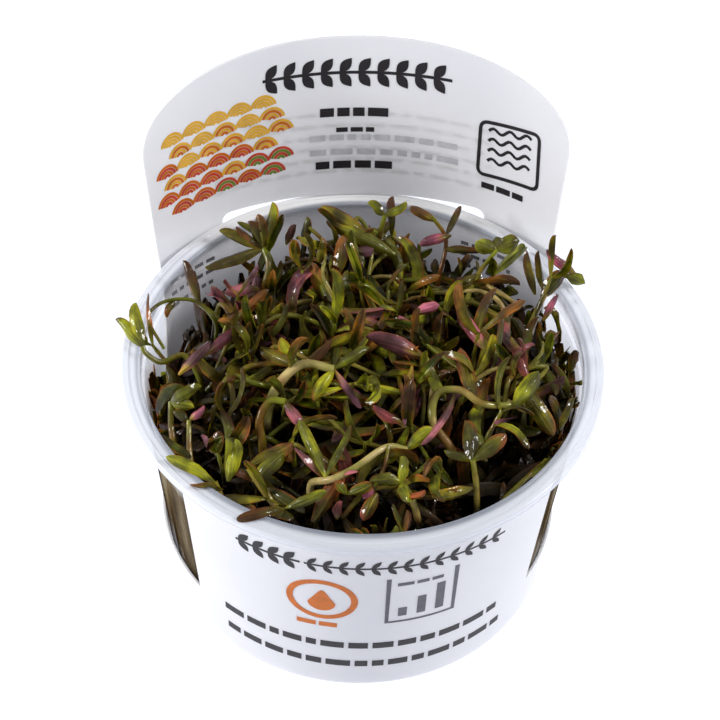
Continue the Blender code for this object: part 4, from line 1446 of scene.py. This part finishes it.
def place_seen_shoots(seen):
    stalk, fan, blade, leaves = seen.stalk, seen.fan, seen.blade, seen.leaves

    # Upright cluster at the back left
    stalk(1.5, 0.30, (-19, 24, 50), (-18, 27, 53.5), (-19, 30, 56))
    fan((-19, 29.5, 56), ((-17, 36, 63), 2.9, "green", 0.5), ((-20, 33.5, 62), 2.7, "olive", 0.5),
        ((-22, 32.5, 61), 2.5, "green", 0.5), ((-24.5, 32, 60), 2.2, "brown", 0.5),
        ((-28, 33, 58), 2.3, "olive", 0.5), ((-31, 26, 54.5), 2.9, "olive", 0.5))
    blade((-20, 22, 52), (-27, 19, 54), 2.6, "pink", 1.4)

    # Pair that hangs over the rim at the left, and the thin arc above it
    stalk(1.2, 0.45, (-32, 0, 49), (-35, 3, 53), (-39.5, 0.5, 54), (-42.3, 1, 56), (-43, 2, 57))
    fan((-43, 2, 57), ((-48.3, 8, 58.5), 2.4, "lime", 0.4), ((-44.2, 10, 61), 2.6, "lime", 0.8))
    stalk(0.8, 0.30, (-29, 13, 52), (-33, 15, 56), (-39, 13.5, 57.5), (-42, 9.5, 57), (-39, 4, 54))
    blade((-37, 14.5, 57), (-38.5, 11.5, 55), 1.8, "brown", 0.3)

    # Lime curl and stems down the left wall
    fan((-37.5, -9, 53), ((-31.5, -7, 55), 3.2, "lime", 3.2), ((-33, -11, 53.5), 2.8, "lime", 1.8))
    stalk(1.3, 0.60, (-37, -16, 48), (-37.5, -13, 50.5), (-37.5, -9, 53))
    stalk(1.2, 0.75, (-33.5, -22, 47), (-34, -18, 50), (-34, -13, 52))
    fan((-34, -13, 52), ((-31, -11, 54), 1.8, "pink", 0.4), ((-37, -12, 53.5), 1.9, "deep", 0.5))
    leaves("pink", ((-36, -3, 54), (-30, 3, 57), 2.0, 0.7), ((-31, 1, 55), (-23, 6, 57.5), 2.2, 0.9))

    # Upright V at the left
    stalk(1.2, 0.40, (-26, 12, 49), (-29, 14, 52.5), (-32, 16, 54))
    fan((-32, 16, 54), ((-35.2, 22.5, 60), 2.3, "brown", 0.6), ((-33, 22, 57.5), 1.8, "olive", 0.3, 60))

    # Broad leaves, a lime pair and a reddish shoot at the back
    blade((4, 31, 55.5), (-7, 35.5, 62), 3.4, "olive", 1.3)
    blade((8, 29, 54), (-6, 33.5, 59.5), 3.3, "green", 1.6, -15)
    stalk(1.2, 0.15, (5, 31, 51), (5, 32.5, 56), (6, 34, 60.5))
    fan((6, 34, 60.5), ((2.5, 35.8, 62.5), 2.3, "lime", 0.3), ((10.5, 36, 62.5), 2.5, "lime", 0.3))
    stalk(1.0, 0.05, (17, 26, 50), (18.5, 30, 57), (15.5, 32, 62))
    leaves("brown", ((16.5, 31.5, 61), (11, 34, 63), 2.0, 0.8),
           ((18.5, 30.5, 58), (21.8, 35, 62), 1.4, -0.5))
    blade((19.5, 30, 58.5), (13, 28.5, 57), 2.2, "pink", 0.4)
    blade((18, 29, 55.5), (26, 28.5, 55), 2.4, "brown", 1.2)

    # Round lime leaves at the back right
    stalk(1.1, 0.55, (21, 15, 49), (23.5, 20.5, 54.5), (28.3, 24, 60))
    fan((28.3, 24, 60), ((24, 25.5, 61), 3.3, "lime", 0.4), ((33, 25.5, 61), 3.6, "lime", 0.4),
        ((28.3, 26.3, 61.5), 2.6, "lime", 0.2))
    blade((24, 21, 56), (17.5, 16, 54), 2.6, "olive", 1.0)

    # Pink and brown tips at the right rim
    stalk(1.2, 0.80, (34, 11, 49), (37, 15, 54), (40, 18.5, 57), (44, 18.7, 57.6))
    leaves("brown", ((36, 16.5, 54.5), (34, 21.7, 62), 2.8, 0.4),
           ((37.5, 16.5, 55.5), (36.5, 22, 61.5), 1.7, -0.5))
    blade((37, 15.5, 54.5), (41.5, 18.5, 59), 3.2, "green", 0.5)
    blade((44, 18.7, 58), (38, 21.4, 62.5), 2.6, "pink", 0.5)
    blade((42, 18.3, 58), (46, 17.5, 56.4), 2.6, "lime", 0.5)
    blade((37, 10.5, 53), (40, 14, 57), 2.1, "pink", 0.6)

    # Cream stem and the lime joint in the middle, and the pink leaf beside it
    stalk(2.1, 1.0, (-19, -10, 49), (-17, -7, 54.5), (-12, -4, 57.5), (-6, -5, 57))
    fan((-6, -5, 57), ((1, -0.5, 58), 2.5, "lime", 0.7), ((-4.5, 4, 57), 2.4, "green", 1.0),
        ((-1, -12.5, 54), 1.5, "pink", 0.3), ((-10, -11, 54.5), 2.4, "lime", 1.0))
    blade((-13, -4, 57), (-20, 4, 54), 2.6, "olive", 1.4)
    stalk(1.4, 0.95, (13, -8, 49), (13.5, -4, 53.5), (12, -1, 55.5))
    blade((12, -1, 55.5), (0.5, 1.2, 59), 3.7, "pink", 1.1)
    blade((12.5, -3, 55), (15, -12, 55), 3.0, "lime", 1.0)

    # Tan loop at the right, with the leaves that cross it
    stalk(1.6, 0.85, (16, -20, 50), (12.6, -16, 53.5), (13.5, -11.5, 56.5), (18, -11.8, 57.8),
          (22, -14.5, 56.8), (28, -13, 54.5))
    blade((20.5, -14, 57), (18.7, -1.5, 58.5), 3.0, "brown", 0.8)
    blade((28, -14, 55), (33.5, -7, 57.5), 3.4, "lime", 0.8)
    blade((17, -11.5, 57.5), (9.5, -21, 53), 2.0, "pink", -1.2, 40)
    leaves("pink", ((29, 1.5, 58), (31.8, -6.5, 55), 2.6, 0.8), ((24, 1, 55), (19.5, 11, 57), 2.7, 0.6))
    blade((30, -8, 55.5), (36, -18, 51), 3.4, "olive", 1.4)

    # Leaves that poke over the rim at the front left, and the lime arc behind them
    stalk(1.4, 0.75, (-27, -32, 46), (-28, -31, 51), (-29, -29.5, 53.5))
    blade((-29, -29.5, 53.5), (-38, -25.5, 56.4), 2.4, "lime", 1.5)
    blade((-27.5, -31, 53), (-33.5, -32, 56), 1.6, "brown", 0.7)
    blade((-26.5, -29, 53), (-25, -22, 57), 2.8, "lime", 0.4)
    fan((-16, -36.5, 54), ((-25, -40.3, 56), 2.3, "brown", 0.9), ((-8.5, -35, 57), 2.0, "lime", 0.8))
    blade((-22, -29.5, 53.5), (-16, -25, 56), 3.0, "lime", 2.2)

    # Cream fork, a wet brown leaf and lime joints along the front
    stalk(1.5, 0.95, (-11, -29, 52), (-7.5, -31, 55.5), (-3, -29, 56.3), (3, -24, 56), (7, -23, 54))
    fan((-8.5, -30, 55.2), ((-13.2, -19, 58.5), 2.2, "lime", 0.8), ((-3.5, -20, 58), 1.9, "green", 0.6))
    blade((7, -23, 54), (12, -20, 56.5), 2.4, "lime", 0.7)
    blade((-11, -37.5, 51), (-5.5, -29.5, 56), 3.1, "brown", 0.5)
    stalk(1.4, 0.85, (9, -37, 47), (7.5, -34.5, 53), (5.5, -32, 55.5))
    fan((5.5, -32, 55.5), ((-0.5, -32.5, 56.5), 3.0, "lime", 0.5), ((7, -36.8, 55.5), 3.3, "lime", 0.5),
        ((5.5, -27.5, 57.5), 2.8, "lime", 0.5))

    # Red hook and a lime curl before the middle, and an arc at the front right
    stalk(0.9, 0.05, (0, -32, 52), (2.5, -28, 55), (3.5, -24, 56.5))
    blade((0, -32, 55), (-1.5, -33.5, 52.5), 2.2, "pink", 0.3)
    stalk(1.7, 0.50, (-20, -18, 50), (-20.5, -15, 54), (-18.5, -12.5, 56.5), (-15.5, -13, 57))
    blade((-15.5, -13, 57), (-13, -17.5, 55), 2.2, "pink", 0.5)
    stalk(1.1, 0.50, (22, -36, 47), (25, -33, 50.5), (30, -28.5, 52), (34, -24, 51))
    blade((30, -28.5, 52), (36, -25, 52.5), 2.4, "green", 0.8)

    # Leaves between the left cluster and the broad leaves at the back
    blade((-10.8, 32, 55), (-10, 34.6, 60), 2.3, "deep", 0.3)
    blade((-14.3, 32, 54.5), (-12.2, 33.3, 59), 1.9, "pink", 0.3)
    stalk(1.0, 0.10, (-3, 28, 52), (-5, 29.3, 55), (-7.4, 30.9, 57.5), (-9.6, 32.3, 59))
    blade((-3.9, 23.3, 54), (-2.9, 29.8, 59), 2.9, "brown", 0.6)
    blade((-0.1, 28, 56), (3.4, 27.9, 57), 2.4, "pink", 0.3)
    blade((-7.9, 27.4, 54), (-7, 29.8, 58.5), 2.6, "olive", 0.5)
    blade((-12.4, 27, 54), (-13.3, 29.9, 58), 2.4, "brown", 0.4)

    # Small leaves inside the front of the rim
    leaves("deep", ((-25.3, -31.2, 52), (-20.9, -36.6, 53), 2.2, 0.5),
           ((-19.2, -31.6, 54), (-12.6, -36.9, 53), 3.0, 1.5),
           ((-17.8, -35.1, 53), (-14.5, -38, 53), 3.2, 0.6))
    stalk(1.5, 0.80, (-17.7, -33.4, 50), (-20.3, -30.7, 53), (-22.6, -27.5, 55))
    blade((-22.6, -27, 55), (-14.3, -22.9, 56.5), 3.0, "olive", 0.6)
    stalk(0.9, 0.40, (-14.1, -23, 56), (-11.5, -24.6, 56), (-9.1, -25.8, 56))
    blade((-6.6, -37.7, 52), (-5.6, -35, 54), 2.4, "pink", 0.4)
    blade((0.9, -34.1, 55), (-1.7, -39, 53), 2.5, "brown", 0.7)
    fan((-4.6, -33.4, 54), ((0.1, -32.6, 56), 2.2, "deep", 0.7), ((-6.9, -31.9, 56), 1.9, "deep", 0.4))
    leaves("deep", ((-33.6, -21.5, 51), (-38.9, -17.3, 53), 2.4, 0.8),
           ((-28.8, -22.8, 53), (-28, -19.2, 56), 2.2, 0.3))
    blade((-29.3, -22.9, 54), (-31.5, -20.1, 56), 1.3, "pink", 0.3)

    # Pink and mauve leaves right of the middle
    leaves("pink", ((10.2, 6.1, 57), (7.2, 7, 59), 2.1, 0.3),
           ((10.6, 9.6, 57), (15.5, 10, 58.5), 2.5, 0.5),
           ((9.1, -4.5, 57), (7.1, -17.8, 55), 1.9, 0.5),
           ((6.4, -17.1, 55), (1.2, -14.4, 57), 3.0, 0.6))
    blade((21.3, -24, 53), (19.6, -19.4, 55), 2.8, "lime", 0.5)
    blade((41.7, -0.7, 50), (42.4, 2.5, 53), 2.2, "brown", 0.3)
    blade((37.6, -15.7, 50), (40.7, -10.2, 53), 2.3, "olive", 0.6)

    # Green pair on a pale stem at the front right
    stalk(1.3, 0.65, (20, -34, 46), (19.8, -31, 52), (19, -28, 56.5))
    fan((19, -28, 56.5), ((18, -20, 58.5), 3.0, "green", 0.5), ((25.5, -23.5, 58.5), 3.1, "green", 0.5),
        ((13.8, -25.5, 56.5), 1.9, "green", -0.9))
    blade((19, -32, 53), (11, -35, 54.5), 2.6, "olive", 1.2)


def make_plants():
    make_core()
    stem = stem_material("plant_stem")
    materials = {}
    for slot, greens in GREENS.items():
        flush = PINK_FLUSH if slot == "red_leaf" else BROWN_FLUSH
        materials[slot] = leaf_material("wet_" + slot, greens, flush)
    seen = Seen(random.Random(SEED + 3))
    place_seen_shoots(seen)
    planter = Planter(random.Random(SEED + 2), seen.shown, materials, stem)
    for slot, growth in sorted(seen.growths.items()):
        planter.make(growth, f"seen_{slot.split('_')[0]}", slot)
    make_frame_shoots(planter)
    make_filling(planter)
    make_runners(planter)
    pressed = leaf_material("pressed_leaf", GREENS["olive_leaf"], BROWN_FLUSH, 0.0)
    make_wall_leaves(planter.chance, [pressed, stem_material("pressed_stem", 0.0)])


# Stage

def camera_frame():
    """The camera's place and turn, round the middle of the flange."""
    target = Vector((0.0, 0.0, CUP_HEIGHT))
    level = math.cos(CAMERA_ELEVATION)
    back = Vector((math.sin(CAMERA_AZIMUTH) * level, -math.cos(CAMERA_AZIMUTH) * level,
                   math.sin(CAMERA_ELEVATION)))
    turn = (-back).to_track_quat("-Z", "Y").to_matrix() @ Matrix.Rotation(CAMERA_ROLL, 3, "Z")
    return Matrix.LocRotScale(target + back * CAMERA_DISTANCE, turn, None)


def make_camera():
    data = bpy.data.cameras.new("camera")
    data.lens = CAMERA_LENS
    data.sensor_width = CAMERA_SENSOR
    data.shift_x, data.shift_y = CAMERA_SHIFT
    camera = bpy.data.objects.new("camera", data)
    camera.matrix_world = camera_frame()
    bpy.context.scene.collection.objects.link(camera)
    bpy.context.scene.camera = camera


def make_lights():
    for name, (place, side, watts) in LIGHTS.items():
        data = bpy.data.lights.new(name, "AREA")
        data.shape = "RECTANGLE"
        data.size = data.size_y = side
        data.energy = watts
        light = bpy.data.objects.new(name, data)
        light.location = place
        light.rotation_euler = (LIGHT_AIM - Vector(place)).to_track_quat("-Z", "Y").to_euler()
        bpy.context.scene.collection.objects.link(light)


def make_stage():
    """A pale world, four lights and a white floor that glows, as under the photograph's pot."""
    world = bpy.data.worlds.new("studio")
    world.use_nodes = True
    background = world.node_tree.nodes["Background"]
    background.inputs["Color"].default_value = (*WORLD_COLOUR, 1.0)
    background.inputs["Strength"].default_value = WORLD_STRENGTH
    bpy.context.scene.world = world
    make_lights()
    mesh = bpy.data.meshes.new("floor")
    corners = [(x * FLOOR_HALF, y * FLOOR_HALF, 0.0) for x, y in ((-1, -1), (1, -1), (1, 1), (-1, 1))]
    mesh.from_pydata(corners, [], [(0, 1, 2, 3)])
    shader = Shader("floor_white", {
        "Base Color": (0.0, 0.0, 0.0),
        "Specular IOR Level": 0.0,
        "Roughness": 0.9,
        "Emission Color": FLOOR_GLOW,
        "Emission Strength": FLOOR_STRENGTH,
    })
    mesh.materials.append(shader.material)
    floor = bpy.data.objects.new("floor", mesh)
    bpy.context.scene.collection.objects.link(floor)
    bpy.context.scene.view_settings.view_transform = "Standard"


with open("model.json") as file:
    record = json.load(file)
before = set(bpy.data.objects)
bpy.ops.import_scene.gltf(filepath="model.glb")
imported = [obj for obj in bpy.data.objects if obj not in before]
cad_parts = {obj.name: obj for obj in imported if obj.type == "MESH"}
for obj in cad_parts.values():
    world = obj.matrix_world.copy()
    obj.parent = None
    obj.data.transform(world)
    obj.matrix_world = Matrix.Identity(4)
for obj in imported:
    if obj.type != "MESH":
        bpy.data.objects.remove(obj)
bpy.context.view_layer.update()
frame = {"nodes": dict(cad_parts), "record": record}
make_camera()
make_stage()
make_cup()
make_sleeve()
make_print()
make_plants()
bpy.context.view_layer.update()
